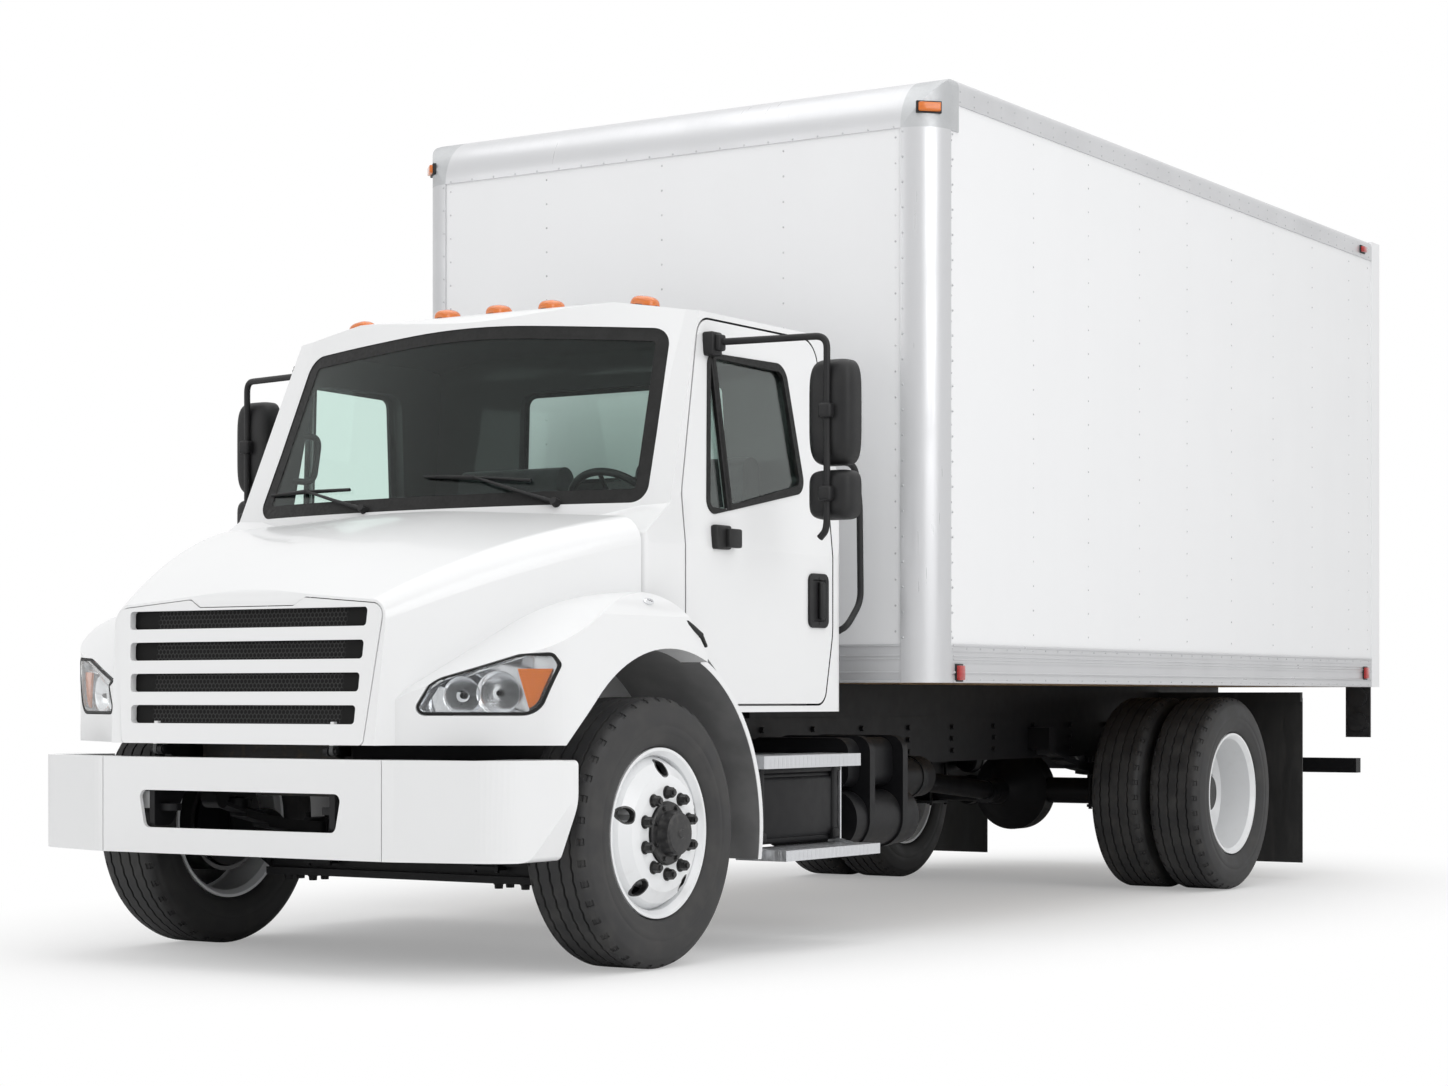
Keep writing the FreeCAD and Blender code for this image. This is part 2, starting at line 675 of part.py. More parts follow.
def arch_tool(radius, x0, x1):
    return rod((x0, 0, AXLE_Z), (x1, 0, AXLE_Z), radius)


PANEL = mirror_pairs([
    (0, HOOD_BOTTOM), (550, HOOD_BOTTOM, 20), (610, 1262, 45), (262, 1290, 20), (215, 1262, 20), (0, 1262),
])
LAMP = [
    (682, 892, 25), (1052, 892, 70), (1112, 1060, 25), (1092, 1098, 20), (985, 1092, 60),
    (850, 1046, 60), (745, 1012, 40),
]

hood_outer = hood_form(0)
hood_shell = hood_outer.cut(hood_form(HOOD_WALL, 60))
behind = box((-1050, 1050), (HOOD_REAR, 400), (700, 1800))
hood_outer_front = hood_outer.cut(behind)
liner = arch_tool(ARCH_R + 7, 600, FENDER_X - 8).cut(arch_tool(ARCH_R, 590, FENDER_X))
liner = liner.common(hood_outer_front)
hood_shell = hood_shell.cut(behind)
hood_shell = hood_shell.cut([arch_tool(ARCH_R, 560, 1300), arch_tool(ARCH_R, -1300, -560)])
panel_hole = prism(shrink(PANEL, -3), "front", -1000, -800)
LAMP_BACK = -530
lamp_hole = prism(shrink(LAMP, -3), "front", -1000, LAMP_BACK)
hood_shell = hood_shell.cut([panel_hole, lamp_hole, mirrored(lamp_hole)])
lug_y, lug_z = HOOD_PIVOT
lug = prism(
    [
        (lug_y - 15, lug_z - 15, 14), (lug_y + 15, lug_z - 15, 14), (lug_y + 26, lug_z + 100),
        (lug_y - 5, lug_z + 100),
    ],
    "side", HOOD_HINGE_X - 4, HOOD_HINGE_X + 12,
)
lug_bore = rod((HOOD_HINGE_X - 10, lug_y, lug_z), (HOOD_HINGE_X + 20, lug_y, lug_z), 10 + RUN_CLEAR)
lug = lug.cut(lug_bore)
panel_side = [(-931, HOOD_BOTTOM), (-889, 1300), (-862, 1300), (-904, HOOD_BOTTOM)]
panel = prism(panel_side, "side", -700, 700).common(prism(PANEL, "front", -1000, -800))
# Grille slots as (centre z, half width)
SLOTS = [(1222, 540), (1112, 531), (1002, 521), (892, 510)]
slots = [
    prism([(-w, z - 32, 14), (w, z - 32, 14), (w + 4, z + 32, 14), (-w - 4, z + 32, 14)], "front", -1000, -800)
    for z, w in SLOTS
]
node("hood_shell", joined(hood_shell, *both(liner)))
node("grille_surround", joined(panel.cut(slots), *both(lug)))
mesh_side = [(-900, HOOD_BOTTOM + 25), (-860, 1262), (-850, 1262), (-890, HOOD_BOTTOM + 25)]
mesh_cutters = [hood_shell, panel] + list(both(lug))
node("grille_mesh", prism(mesh_side, "side", -560, 560).cut(mesh_cutters))
lens = fender_form(0).common(prism(LAMP, "front", -1000, LAMP_BACK)).cut(fender_form(HOOD_WALL))
housing = fender_form(HOOD_WALL).common(prism(shrink(LAMP, -14), "front", -1000, LAMP_BACK))
headlamp = joined(lens, housing.cut(fender_form(90))).cut(hood_shell)
node("headlamps", *both(headlamp))


# ---------------------------------------------------------------- cab
# Below the belt the cab is a block with a sloping cowl; above it a greenhouse lofted between two
# plans, so that the bowed windshield leans back and the sides lean in.
LOWER_SIDE = [
    (CAB_FRONT, SILL_Z), (CAB_FRONT, 1530, 40), (235, 1668), (CAB_REAR, 1668), (CAB_REAR, SILL_Z),
]
LOWER_PLAN = mirror_pairs([
    (0, CAB_FRONT), (CAB_HALF, CAB_FRONT, 30), (CAB_HALF, CAB_REAR, 60), (0, CAB_REAR),
])
LOFT_TOP = 2500
ROOF_SIDE = [
    (0, BELT_Z), (381, 2425, 150), (1000, ROOF_Z, 3000), (1398, 2405, 140), (CAB_REAR + 2, BELT_Z),
]
ROOF_FRONT = mirror_pairs([
    (0, BELT_Z), (1200, BELT_Z), (1200, 2300), (985, 2370, 90), (560, 2432, 500), (0, 2450, 5000),
])
TUNNEL_X, TUNNEL_Y, TUNNEL_Z = 500, 450, 1380
CAB_ARCH_R = ARCH_R + 45


GLASS_LEAN = math.atan(WINDSHIELD_SLOPE)
LEAN_TOP_X = CAB_HALF - SIDE_LEAN * (LOFT_TOP - BELT_Z)
CAB_FACE = mirror_pairs([
    (0, 800), (CAB_HALF, 800), (CAB_HALF, BELT_Z), (LEAN_TOP_X, LOFT_TOP), (0, LOFT_TOP),
])


def bowed_front(inset):
    """Block whose front is a round bow standing along the windshield's slope."""
    apex = GLASS_APEX * math.cos(GLASS_LEAN)
    pillar = apex + BOW_SLOPE * BOW_HALF
    radius = (BOW_HALF * math.hypot(1, BOW_SLOPE) - BOW_FLAT) / BOW_SLOPE
    section = mirror_pairs([
        (0, apex, radius), (BOW_HALF, pillar), (CAB_HALF + 30, pillar + 8), (CAB_HALF + 30, 2600),
        (0, 2600),
    ])
    block = prism(shrink(section, inset), "plan", -200, 2400)
    block.rotate(Vector(0, 0, 0), Vector(1, 0, 0), -math.degrees(GLASS_LEAN))
    block.translate(Vector(0, 0, BELT_Z))
    return block


def greenhouse(inset):
    form = bowed_front(inset)
    for corners in (CAB_FACE, ROOF_FRONT):
        form = form.common(prism(shrink_open(corners, inset), "front", -300, 1600))
    form = form.common(prism(shrink_open(ROOF_SIDE, inset), "side", -1200, 1200))
    return form.common(prism(shrink(LOWER_PLAN, inset), "plan", BELT_Z - 5, LOFT_TOP + 5))


def lower_cab(inset):
    side = shrink(LOWER_SIDE, inset)
    if inset:
        side[2] = (side[2][0], side[2][1] + inset, 0)
        side[3] = (side[3][0], side[3][1] + inset, 0)
    form = prism(side, "side", -1200, 1200)
    form = form.common(prism(shrink(LOWER_PLAN, inset), "plan", 800, 1700))
    form = form.common(prism(shrink_open(CAB_FACE, inset), "front", -300, 1600))
    form = form.cut(arch_tool(CAB_ARCH_R + inset, -1300, 1300))
    tunnel = box(
        (-TUNNEL_X - inset, TUNNEL_X + inset), (-100, TUNNEL_Y + inset), (800, TUNNEL_Z + inset)
    )
    return form.cut(tunnel)


def cab_form(inset):
    return greenhouse(inset).fuse(lower_cab(inset))


DOOR_FRONT = 287
DOOR = [
    (DOOR_FRONT, 927), (DOOR_FRONT, 1690, 200), (490, 2345, 90), (1324, 2345, 90), (1324, 1200, 300),
    (1264, 927, 60),
]
WINDOW = [(437, 1621, 45), (527, 2210, 60), (1076, 2220, 70), (1150, 1750, 60)]
WINDSHIELD = mirror_pairs([(0, 1652), (926, 1652, 60), (862, 2310, 80), (0, 2372, 4000)])
REAR_WINDOW = mirror_pairs([(0, 1840), (520, 1840, 60), (500, 2230, 60), (0, 2230)])

outer = cab_form(0)
inner = cab_form(CAB_WALL)


def side_band(depth):
    """The left wall's zone, as deep as a door, from sill to roof."""
    corners = [
        (CAB_HALF - depth, 800), (CAB_HALF + 5, 800), (CAB_HALF + 5, BELT_Z),
        (LEAN_TOP_X + 5, LOFT_TOP), (LEAN_TOP_X - depth, LOFT_TOP), (CAB_HALF - depth, BELT_Z),
    ]
    return prism(corners, "front", 0, 1600)


door_arch = arch_tool(CAB_ARCH_R + CAB_WALL + 16, -1300, 1300)
frame_arch = arch_tool(CAB_ARCH_R + CAB_WALL + 2, -1300, 1300)
door_blank = prism(DOOR, "side", 850, 1100).common(side_band(DOOR_THICK)).common(outer)
door_blank = door_blank.cut(door_arch)
door_hole = prism(shrink(DOOR, -DOOR_GAP), "side", 850, 1100).cut(frame_arch)
door_hole = door_hole.common(side_band(DOOR_THICK + DOOR_GAP))
hinge_x, hinge_y = DOOR_HINGE
swing_r = math.hypot(CAB_HALF - hinge_x, hinge_y - DOOR_FRONT) + SWING_GAP
swing_low = AXLE_Z + math.sqrt((CAB_ARCH_R + CAB_WALL) ** 2 - (hinge_y - swing_r) ** 2)
door_hole = door_hole.fuse(rod((hinge_x, hinge_y, swing_low), (hinge_x, hinge_y, 1690), swing_r))
windshield_tool = prism(WINDSHIELD, "front", -200, 700)
rear_window_tool = prism(REAR_WINDOW, "front", 1300, 1500)


def door_hinge_arms():
    """Goosenecks on the pillar, each with its pin standing in the door."""
    pieces = []
    for z in DOOR_HINGE_Z:
        arm_y = (hinge_y - DOOR_PIN_R, hinge_y + DOOR_PIN_R)
        pieces.append(box((956, hinge_x), arm_y, (z - 20, z + 20)))
        pieces.append(box((956, 998), (232, hinge_y + DOOR_PIN_R), (z - 20, z + 20)))
        pieces.append(rod((hinge_x, hinge_y, z - 55), (hinge_x, hinge_y, z + 55), DOOR_PIN_R))
    return pieces


shell = outer.cut(inner)
shell = shell.cut([windshield_tool, rear_window_tool, door_hole, mirrored(door_hole)])
arms = door_hinge_arms()
node("cab_shell", joined(shell, *arms, *[mirrored(arm) for arm in arms]))

pane = greenhouse(4).cut(greenhouse(4 + GLASS))
windshield = pane.common(windshield_tool)
rear_pane = pane.common(rear_window_tool)
node("cab_glass", windshield, rear_pane)

window_tool = prism(WINDOW, "side", 850, 1100)
pockets = []
for z in DOOR_HINGE_Z:
    pockets.append(box((900, hinge_x + 7), (250, hinge_y + 22), (z - 26, z + 26)))
    pin_run = rod((hinge_x, hinge_y, z - 56), (hinge_x, hinge_y, z + 56), DOOR_PIN_R + RUN_CLEAR)
    pockets.append(pin_run)
divider = prism([(558, 2260), (572, 2260), (618, 1600), (604, 1600)], "side", 850, 1100)
divider = divider.common(greenhouse(6).cut(greenhouse(30))).common(window_tool)
door = joined(door_blank.cut([window_tool] + pockets), divider)
node("door_left", door)
node("door_right", mirrored(door))
side_pane = greenhouse(14).cut(greenhouse(14 + GLASS)).common(window_tool).cut(divider)
node("door_glass_left", side_pane)
node("door_glass_right", mirrored(side_pane))

# Rubber mounts between the frame and the cab's floor
mounts = [
    box((SPRING_X - 40, SPRING_X + 35), (y, y + 80), (RAIL_TOP, SILL_Z)) for y in (560, 1300)
]
node("cab_mounts", *[piece for mount in mounts for piece in both(mount)])


# ---------------------------------------------------------------- cab interior
DASH_Z = TUNNEL_Z + CAB_WALL
dash = prism(
    [(250, DASH_Z), (250, 1600, 30), (400, 1640, 60), (560, 1590, 50), (590, 1460, 60), (540, DASH_Z)],
    "side", -930, 930,
).common(inner)
column = rod((450, 520, 1500), (450, 700, 1640), 28)
WHEEL_CENTRE = Vector(450, 706, 1646)
COLUMN_DIR = Vector(0, 180, 140).normalize()
WHEEL_RING_R = 205
SPOKE_START_R = 48
wheel_ring = Part.makeTorus(WHEEL_RING_R, 15, WHEEL_CENTRE, COLUMN_DIR)
wheel_hub = Part.makeCylinder(60, 30, WHEEL_CENTRE - COLUMN_DIR * 20, COLUMN_DIR)
across = Vector(1, 0, 0)
spokes = []
for angle in (0, 180, 270):
    way = FreeCAD.Rotation(COLUMN_DIR, angle).multVec(across)
    root = WHEEL_CENTRE + way * SPOKE_START_R
    spokes.append(Part.makeCylinder(9, WHEEL_RING_R - SPOKE_START_R, root, way))
node("dashboard", joined(dash, column, wheel_ring, wheel_hub, *spokes))

seat_profile = [
    (760, 1150, 40), (760, 1300, 60), (1160, 1270, 60), (1200, 1900, 60), (1320, 1900, 60),
    (1300, 1180, 60), (1240, 1150, 40),
]
seats = []
for x in (450, -450):
    cushion = prism(seat_profile, "side", x - 255, x + 255)
    base = box((x - 180, x + 180), (860, 1220), (SILL_Z + CAB_WALL, 1160))
    seats.append(joined(cushion, base))
node("seats", *seats)


# ---------------------------------------------------------------- cab trim that shows
# Quarter fenders behind the front wheels, fixed to the cab
quarter = arch_tool(ARCH_R + 22, 700, 1130).cut(arch_tool(ARCH_R, 690, 1140))
quarter = quarter.common(box((600, 1200), (CAB_FRONT, 800), (354, 1300)))
quarter = quarter.cut(box((1046, 1300), (-200, 246), (900, 1400)))
quarter_stay = box((RAIL_X, 710), (ARCH_R - 40, ARCH_R - 4), (690, 740))
node("quarter_fenders", *both(joined(quarter, quarter_stay)))


def tube(route, radius):
    """Bent bar: straight runs with ball corners."""
    pieces = [rod(a, b, radius) for a, b in zip(route, route[1:])]
    pieces += [Part.makeSphere(radius, Vector(*p)) for p in route[1:-1]]
    return joined(*pieces)


handle = tube([
    (1010, CAB_REAR - 8, 1880), (1062, 1440, 1875), (1062, 1500, 1720), (1062, 1508, 1340),
    (1062, 1410, 1235), (1020, 1400, 1210),
], 13)
handle = handle.cut(outer)
node("grab_handles", *both(handle))

LAMP_X = (0, 252, -252, 682, -682)
lamp_base = prism([(530, 2380), (530, 2455, 10), (548, 2470, 8), (640, 2440, 30), (660, 2380)], "side", -50, 50)
lamps = []
for x in LAMP_X:
    piece = lamp_base.copy()
    piece.translate(Vector(x, 0, -0.000032 * x * x))
    lamps.append(piece.cut(outer))
node("roof_lamps", *lamps)

# Mirrors: an arm round the outside of two heads, riding on the door
mirror_arm = tube([
    (975, 540, 2255), (1120, 590, 2275), (1392, 660, 2262), (1408, 664, 2235), (1408, 664, 1560),
    (1380, 664, 1535),
], 13)
bracket = box((940, 1015), (500, 580), (2215, 2300)).cut(outer)
heads = [
    prism([(1297, low, 45), (1495, low, 45), (1495, high, 45), (1297, high, 45)], "front", 690, 770)
    for low, high in ((1830, 2155), (1618, 1768))
]
clamps = [box((1380, 1436), (645, 700), (z - 30, z + 30)) for z in (1985, 1700)]
foot = box((1000, 1075), (460, 628), (1500, 1575)).cut(outer)
mirror = joined(mirror_arm, bracket, *heads, *clamps)
node("mirror_left", mirror, foot)
node("mirror_right", mirrored(mirror), mirrored(foot))


# ---------------------------------------------------------------- van body
# One rounded outline, hollowed by the wall's thickness and parted where the panels meet.
BODY_PLAN = mirror_pairs([
    (0, BODY_FRONT), (BODY_HALF, BODY_FRONT, POST_R), (BODY_HALF, BODY_REAR), (0, BODY_REAR),
])
BODY_SIDE = [
    (BODY_FRONT, RAIL_BOTTOM_Z), (BODY_FRONT, BODY_TOP, NOSE_R), (BODY_REAR, BODY_TOP),
    (BODY_REAR, RAIL_BOTTOM_Z),
]
BODY_FACE = mirror_pairs([
    (0, RAIL_BOTTOM_Z), (BODY_HALF, RAIL_BOTTOM_Z), (BODY_HALF, BODY_TOP, 35), (0, BODY_TOP),
])


def body_form(inset):
    form = prism(shrink(BODY_PLAN, inset), "plan", RAIL_BOTTOM_Z - 5, BODY_TOP + 5)
    form = form.common(prism(shrink_open(BODY_SIDE, inset), "side", -1400, 1400))
    return form.common(prism(shrink_open(BODY_FACE, inset), "front", BODY_FRONT - 5, BODY_REAR + 5))


FAR = 9000
POST_X = BODY_HALF - POST_R
POST_Y = BODY_FRONT + POST_R
NOSE_Z = BODY_TOP - NOSE_R
NOSE_Y = BODY_FRONT + NOSE_R
TOP_RAIL_Z = BODY_TOP - TOP_RAIL_HEIGHT
hollow = body_form(BODY_WALL)
proud = body_form(0).cut(hollow)
skin = body_form(CLADDING).cut(hollow)
cap = proud.common(box((POST_X, FAR), (0, NOSE_Y), (NOSE_Z, FAR)))
post = proud.common(box((POST_X, FAR), (0, POST_Y), (RAIL_BOTTOM_Z, NOSE_Z)))
nose = proud.common(box((-POST_X, POST_X), (0, NOSE_Y), (NOSE_Z, FAR)))
front_wall = skin.common(box((-POST_X, POST_X), (0, POST_Y), (RAIL_BOTTOM_Z, NOSE_Z)))
front_wall = front_wall.cut(box((-FAR, FAR), (BODY_FRONT + BODY_WALL - 1, FAR), (0, FAR)))
side_low = box((POST_X, FAR), (POST_Y, REAR_FRAME_Y), (DECK_Z - 10, NOSE_Z))
side_high = box((POST_X, FAR), (NOSE_Y, REAR_FRAME_Y), (NOSE_Z, TOP_RAIL_Z))
side_wall = skin.common(side_low).fuse(skin.common(side_high)).removeSplitter()
side_wall = side_wall.cut(box((0, BODY_HALF - BODY_WALL), (0, FAR), (0, FAR)))
node("box_walls", front_wall, *both(side_wall))
node("box_corner_posts", *both(post))
node("box_corner_caps", *both(cap))
bottom_rail = box((BODY_HALF - BODY_WALL, BODY_HALF), (POST_Y, REAR_FRAME_Y), (RAIL_BOTTOM_Z, DECK_Z - 10))
for groove_z in (1040, 1085, 1130):
    bottom_rail = bottom_rail.cut(
        box((BODY_HALF - 3, FAR), (POST_Y - 1, REAR_FRAME_Y + 1), (groove_z, groove_z + 5))
    )
top_rail = proud.common(box((BODY_HALF - BODY_WALL, FAR), (NOSE_Y, REAR_FRAME_Y), (TOP_RAIL_Z, FAR)))
node("box_rails", nose, *both(bottom_rail), *both(top_rail))
roof = skin.common(box((BODY_WALL - BODY_HALF, BODY_HALF - BODY_WALL), (NOSE_Y, REAR_FRAME_Y), (TOP_RAIL_Z, FAR)))
node("box_roof", roof)

REAR_POST = 110
rear_block = box((-BODY_HALF, BODY_HALF), (REAR_FRAME_Y, BODY_REAR), (RAIL_BOTTOM_Z, BODY_TOP))
door_opening = box(
    (REAR_POST - BODY_HALF, BODY_HALF - REAR_POST), (0, FAR), (DECK_Z, BODY_TOP - 200)
)
node("box_rear_frame", rear_block.cut(door_opening))
door_face = box(
    (REAR_POST - BODY_HALF, BODY_HALF - REAR_POST), (REAR_FRAME_Y + 40, REAR_FRAME_Y + 70),
    (DECK_Z, BODY_TOP - 200),
)
panel_count = 7
panel_height = (BODY_TOP - 200 - DECK_Z) / panel_count
door_grooves = [
    box((-FAR, FAR), (REAR_FRAME_Y + 64, FAR), (DECK_Z + k * panel_height - 4, DECK_Z + k * panel_height + 4))
    for k in range(1, panel_count)
]
node("roll_up_door", door_face.cut(door_grooves))

deck = box((-FAR, FAR), (BODY_FRONT, REAR_FRAME_Y), (DECK_Z - 38, DECK_Z))
bearers = []
BEARER_PITCH = 400
bearer_count = int((REAR_FRAME_Y - BODY_FRONT - 200) / BEARER_PITCH)
for k in range(bearer_count + 1):
    y = BODY_FRONT + 110 + k * BEARER_PITCH
    bearers.append(box((-FAR, FAR), (y, y + 50), (RAIL_BOTTOM_Z, DECK_Z - 38)))
node("box_floor", joined(deck, *bearers).common(hollow))
sill = box((RAIL_X - 75, RAIL_X - 5), (BODY_FRONT + 20, RAIL_REAR), (RAIL_TOP, RAIL_BOTTOM_Z))
node("box_sills", *both(sill))


# ---------------------------------------------------------------- rear end
FLAP_Y = 5850
flap = box((620, 1225), (FLAP_Y, FLAP_Y + 9), (90, 950))
flap_bar = box((RAIL_X - 5, 1225), (FLAP_Y - 25, FLAP_Y + 5), (930, 980))
node("mudflaps", *both(joined(flap, flap_bar)))
guard_bar = box((-1200, 1200), (BODY_REAR - 90, BODY_REAR - 20), (540, 620))
struts = [
    prism([(RAIL_REAR - 160, 690), (RAIL_REAR, 690), (BODY_REAR - 30, 600), (BODY_REAR - 90, 545)], "side",
          RAIL_X, RAIL_X + 14)
]
node("underride_guard", joined(guard_bar, *both(struts[0])))
lamp_plate = box((1130, 1270), (BODY_REAR - 62, BODY_REAR - 50), (735, RAIL_BOTTOM_Z))
tail = [
    rod((1200, BODY_REAR - 75, z), (1200, BODY_REAR - 22, z), 52) for z in (956, 817)
]
node("tail_lamps", *both(joined(lamp_plate, *tail)))
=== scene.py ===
"""Finishes and small parts of a box truck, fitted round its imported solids."""

import math
import random

import bmesh
import bpy
from mathutils import Matrix, Vector
from mathutils.bvhtree import BVHTree


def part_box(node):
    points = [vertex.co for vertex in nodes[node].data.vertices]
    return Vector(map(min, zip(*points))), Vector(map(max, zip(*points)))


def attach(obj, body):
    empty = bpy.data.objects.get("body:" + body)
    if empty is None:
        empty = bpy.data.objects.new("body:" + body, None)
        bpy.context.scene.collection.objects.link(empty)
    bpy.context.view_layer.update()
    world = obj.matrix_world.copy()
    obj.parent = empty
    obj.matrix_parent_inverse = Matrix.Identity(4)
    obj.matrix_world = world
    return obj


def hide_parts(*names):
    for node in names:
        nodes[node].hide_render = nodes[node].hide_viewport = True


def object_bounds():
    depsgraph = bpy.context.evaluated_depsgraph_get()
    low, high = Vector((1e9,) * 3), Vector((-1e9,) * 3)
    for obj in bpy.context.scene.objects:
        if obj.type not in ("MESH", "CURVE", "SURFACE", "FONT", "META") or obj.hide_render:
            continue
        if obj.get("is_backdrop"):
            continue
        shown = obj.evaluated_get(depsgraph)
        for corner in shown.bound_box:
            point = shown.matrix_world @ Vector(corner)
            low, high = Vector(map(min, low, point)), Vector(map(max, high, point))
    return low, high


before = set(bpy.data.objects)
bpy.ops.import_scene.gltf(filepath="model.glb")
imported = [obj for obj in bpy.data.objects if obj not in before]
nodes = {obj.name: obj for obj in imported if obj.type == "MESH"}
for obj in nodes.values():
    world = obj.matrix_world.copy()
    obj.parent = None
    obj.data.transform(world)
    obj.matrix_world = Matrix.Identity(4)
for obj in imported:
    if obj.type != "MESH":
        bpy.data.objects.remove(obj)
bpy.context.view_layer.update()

scene = bpy.context.scene
random.seed(7)


# ------------ viewpoint
# A level camera off the left front corner, low enough to look under the body.
# The lens is long and raised a little by its shift, so upright lines stay upright.
camera = bpy.data.objects.new("camera", bpy.data.cameras.new("camera"))
scene.collection.objects.link(camera)
camera.location = (6.633, -11.1345, 0.945)
camera.rotation_euler = (math.radians(90), 0, math.radians(32.63))
camera.data.sensor_width = 36
camera.data.lens = 70.2
camera.data.shift_y = 0.1077
camera.data.clip_end = 200
scene.camera = camera


# ------------ frame rails
# Pressed steel channels under satin black paint, with dust on every ledge, and the hex
# heads that hold the cross members along their webs.
class Value:
    """A shader node's output that takes part in sums."""

    def __init__(self, finish, socket):
        self.finish = finish
        self.socket = socket

    def math(self, operation, *others):
        return self.finish.node("ShaderNodeMath", {"operation": operation}, self, *others)

    def __add__(self, other):
        return self.math("ADD", other)

    def __sub__(self, other):
        return self.math("SUBTRACT", other)

    def __mul__(self, other):
        return self.math("MULTIPLY", other)

    def __rsub__(self, other):
        return self.finish.node("ShaderNodeMath", {"operation": "SUBTRACT"}, other, self)

    __radd__ = __add__
    __rmul__ = __mul__

    def ramp(self, low, high, start=0.0, end=1.0):
        """A smooth step from start to end while this goes from low to high."""
        settings = {"interpolation_type": "SMOOTHSTEP"}
        return self.finish.node("ShaderNodeMapRange", settings, self, low, high, start, end)


class Finish:
    """A named surface: a Principled shader and the nodes that vary it over the truck."""

    def __init__(self, name, colour, roughness, metallic=0.0, **constants):
        self.material = bpy.data.materials.new(name)
        self.material.use_nodes = True
        self.tree = self.material.node_tree
        self.surface = self.tree.nodes["Principled BSDF"]
        self.fix(**{"Base Color": (*colour, 1), "Roughness": roughness, "Metallic": metallic})
        self.fix(**{key.replace("_", " "): value for key, value in constants.items()})
        where = self.tree.nodes.new("ShaderNodeTexCoord")
        self.place = Value(self, where.outputs["Object"])

    def fix(self, **inputs):
        for key, value in inputs.items():
            self.surface.inputs[key].default_value = value

    def node(self, kind, settings, *inputs, output=0):
        """Adds one node: settings first, then values or links to its sockets in order."""
        made = self.tree.nodes.new(kind)
        for key, value in settings.items():
            setattr(made, key, value)
        for socket, value in zip([s for s in made.inputs if s.enabled], inputs):
            if isinstance(value, Value):
                self.tree.links.new(value.socket, socket)
            elif value is not None:
                socket.default_value = value
        return Value(self, [s for s in made.outputs if s.enabled][output])

    def feed(self, key, value):
        self.tree.links.new(value.socket, self.surface.inputs[key])

    def axis(self, index):
        return self.node("ShaderNodeSeparateXYZ", {}, self.place, output=index)

    def aside(self):
        return self.axis(0).math("ABSOLUTE")

    def vector(self, operation, *inputs):
        return self.node("ShaderNodeVectorMath", {"operation": operation}, *inputs)

    def scaled(self, factors):
        return self.vector("MULTIPLY", self.place, factors)

    def noise(self, scale, detail=3.0, place=None):
        place = place or self.place
        return self.node("ShaderNodeTexNoise", {}, place, scale, detail)

    def facing_up(self):
        normal = self.node("ShaderNodeNewGeometry", {}, output=1)
        return self.node("ShaderNodeSeparateXYZ", {}, normal, output=2)

    def blend(self, factor, *colours):
        """Mixes two colours, each a triple or a value."""
        ends = [each if isinstance(each, Value) else (*each, 1) for each in colours]
        return self.node("ShaderNodeMix", {"data_type": "RGBA"}, factor, *ends)

    def paint(self, factor, first, second):
        """Varies the colour from the first to the second while the factor goes from 0 to 1."""
        self.feed("Base Color", self.blend(factor, first, second))

    def gloss(self, pattern, low, high):
        """Varies the roughness from low to high about the middle of a pattern."""
        self.feed("Roughness", pattern.ramp(0.3, 0.7, low, high))

    def bump(self, height, strength, distance):
        made = self.tree.nodes.new("ShaderNodeBump")
        made.inputs["Strength"].default_value = strength
        made.inputs["Distance"].default_value = distance
        self.tree.links.new(height.socket, made.inputs["Height"])
        self.tree.links.new(made.outputs["Normal"], self.surface.inputs["Normal"])

    def on(self, *names):
        """Gives this finish to solids of the frame."""
        for name in names:
            slots = nodes[name].data.materials
            slots.clear()
            slots.append(self.material)


chassis = Finish("chassis", (0.008, 0.008, 0.009), 0.45, Specular_IOR_Level=0.2)
settled = chassis.facing_up().ramp(0.2, 0.9) * chassis.noise(9.0, 5.0).ramp(0.35, 0.7)
chassis.paint(settled * 0.4, (0.007, 0.007, 0.008), (0.03, 0.029, 0.027))
chassis.feed("Roughness", chassis.noise(20.0, 4.0).ramp(0.3, 0.7, 0.42, 0.48) + settled * 0.25)
chassis.bump(chassis.noise(140.0, 3.0), 0.12, 0.0008)
chassis.on("frame_rails", "frame_horns", "cross_members", "driveshaft", "underride_guard", "box_sills")


def standing(place, out):
    """The transform that puts a form at a place with its Z along a way out."""
    return Matrix.Translation(place) @ Vector(out).to_track_quat("Z", "Y").to_matrix().to_4x4()


def bar(form, start, end, radius, tip=None, sides=16):
    """Adds a round bar between two points, tapered where its tip has another radius."""
    way = Vector(end) - Vector(start)
    place = standing((Vector(start) + Vector(end)) / 2, way)
    bmesh.ops.create_cone(
        form, cap_ends=True, segments=sides, radius1=radius,
        radius2=radius if tip is None else tip, depth=way.length, matrix=place,
    )


def piece(name, form, finish, body, replaces=(), crease=35):
    """Closes a form into an object that rides on a body of the frame."""
    bmesh.ops.remove_doubles(form, verts=form.verts, dist=1e-5)
    bmesh.ops.recalc_face_normals(form, faces=form.faces)
    mesh = bpy.data.meshes.new(name)
    form.to_mesh(mesh)
    form.free()
    mesh.shade_smooth()
    mesh.set_sharp_from_angle(angle=math.radians(crease))
    mesh.materials.append(finish.material)
    made = bpy.data.objects.new(name, mesh)
    scene.collection.objects.link(made)
    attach(made, body)
    if replaces:
        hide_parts(*replaces)


def hex_head(form, place, out, across=0.022, height=0.01):
    """Adds a hex head on its washer, standing out from a face."""
    base, out = Vector(place), Vector(out)
    bar(form, base, base + out * 0.003, across * 0.66, sides=20)
    bar(form, base + out * 0.003, base + out * (0.003 + height), across * 0.55, across * 0.5, 6)


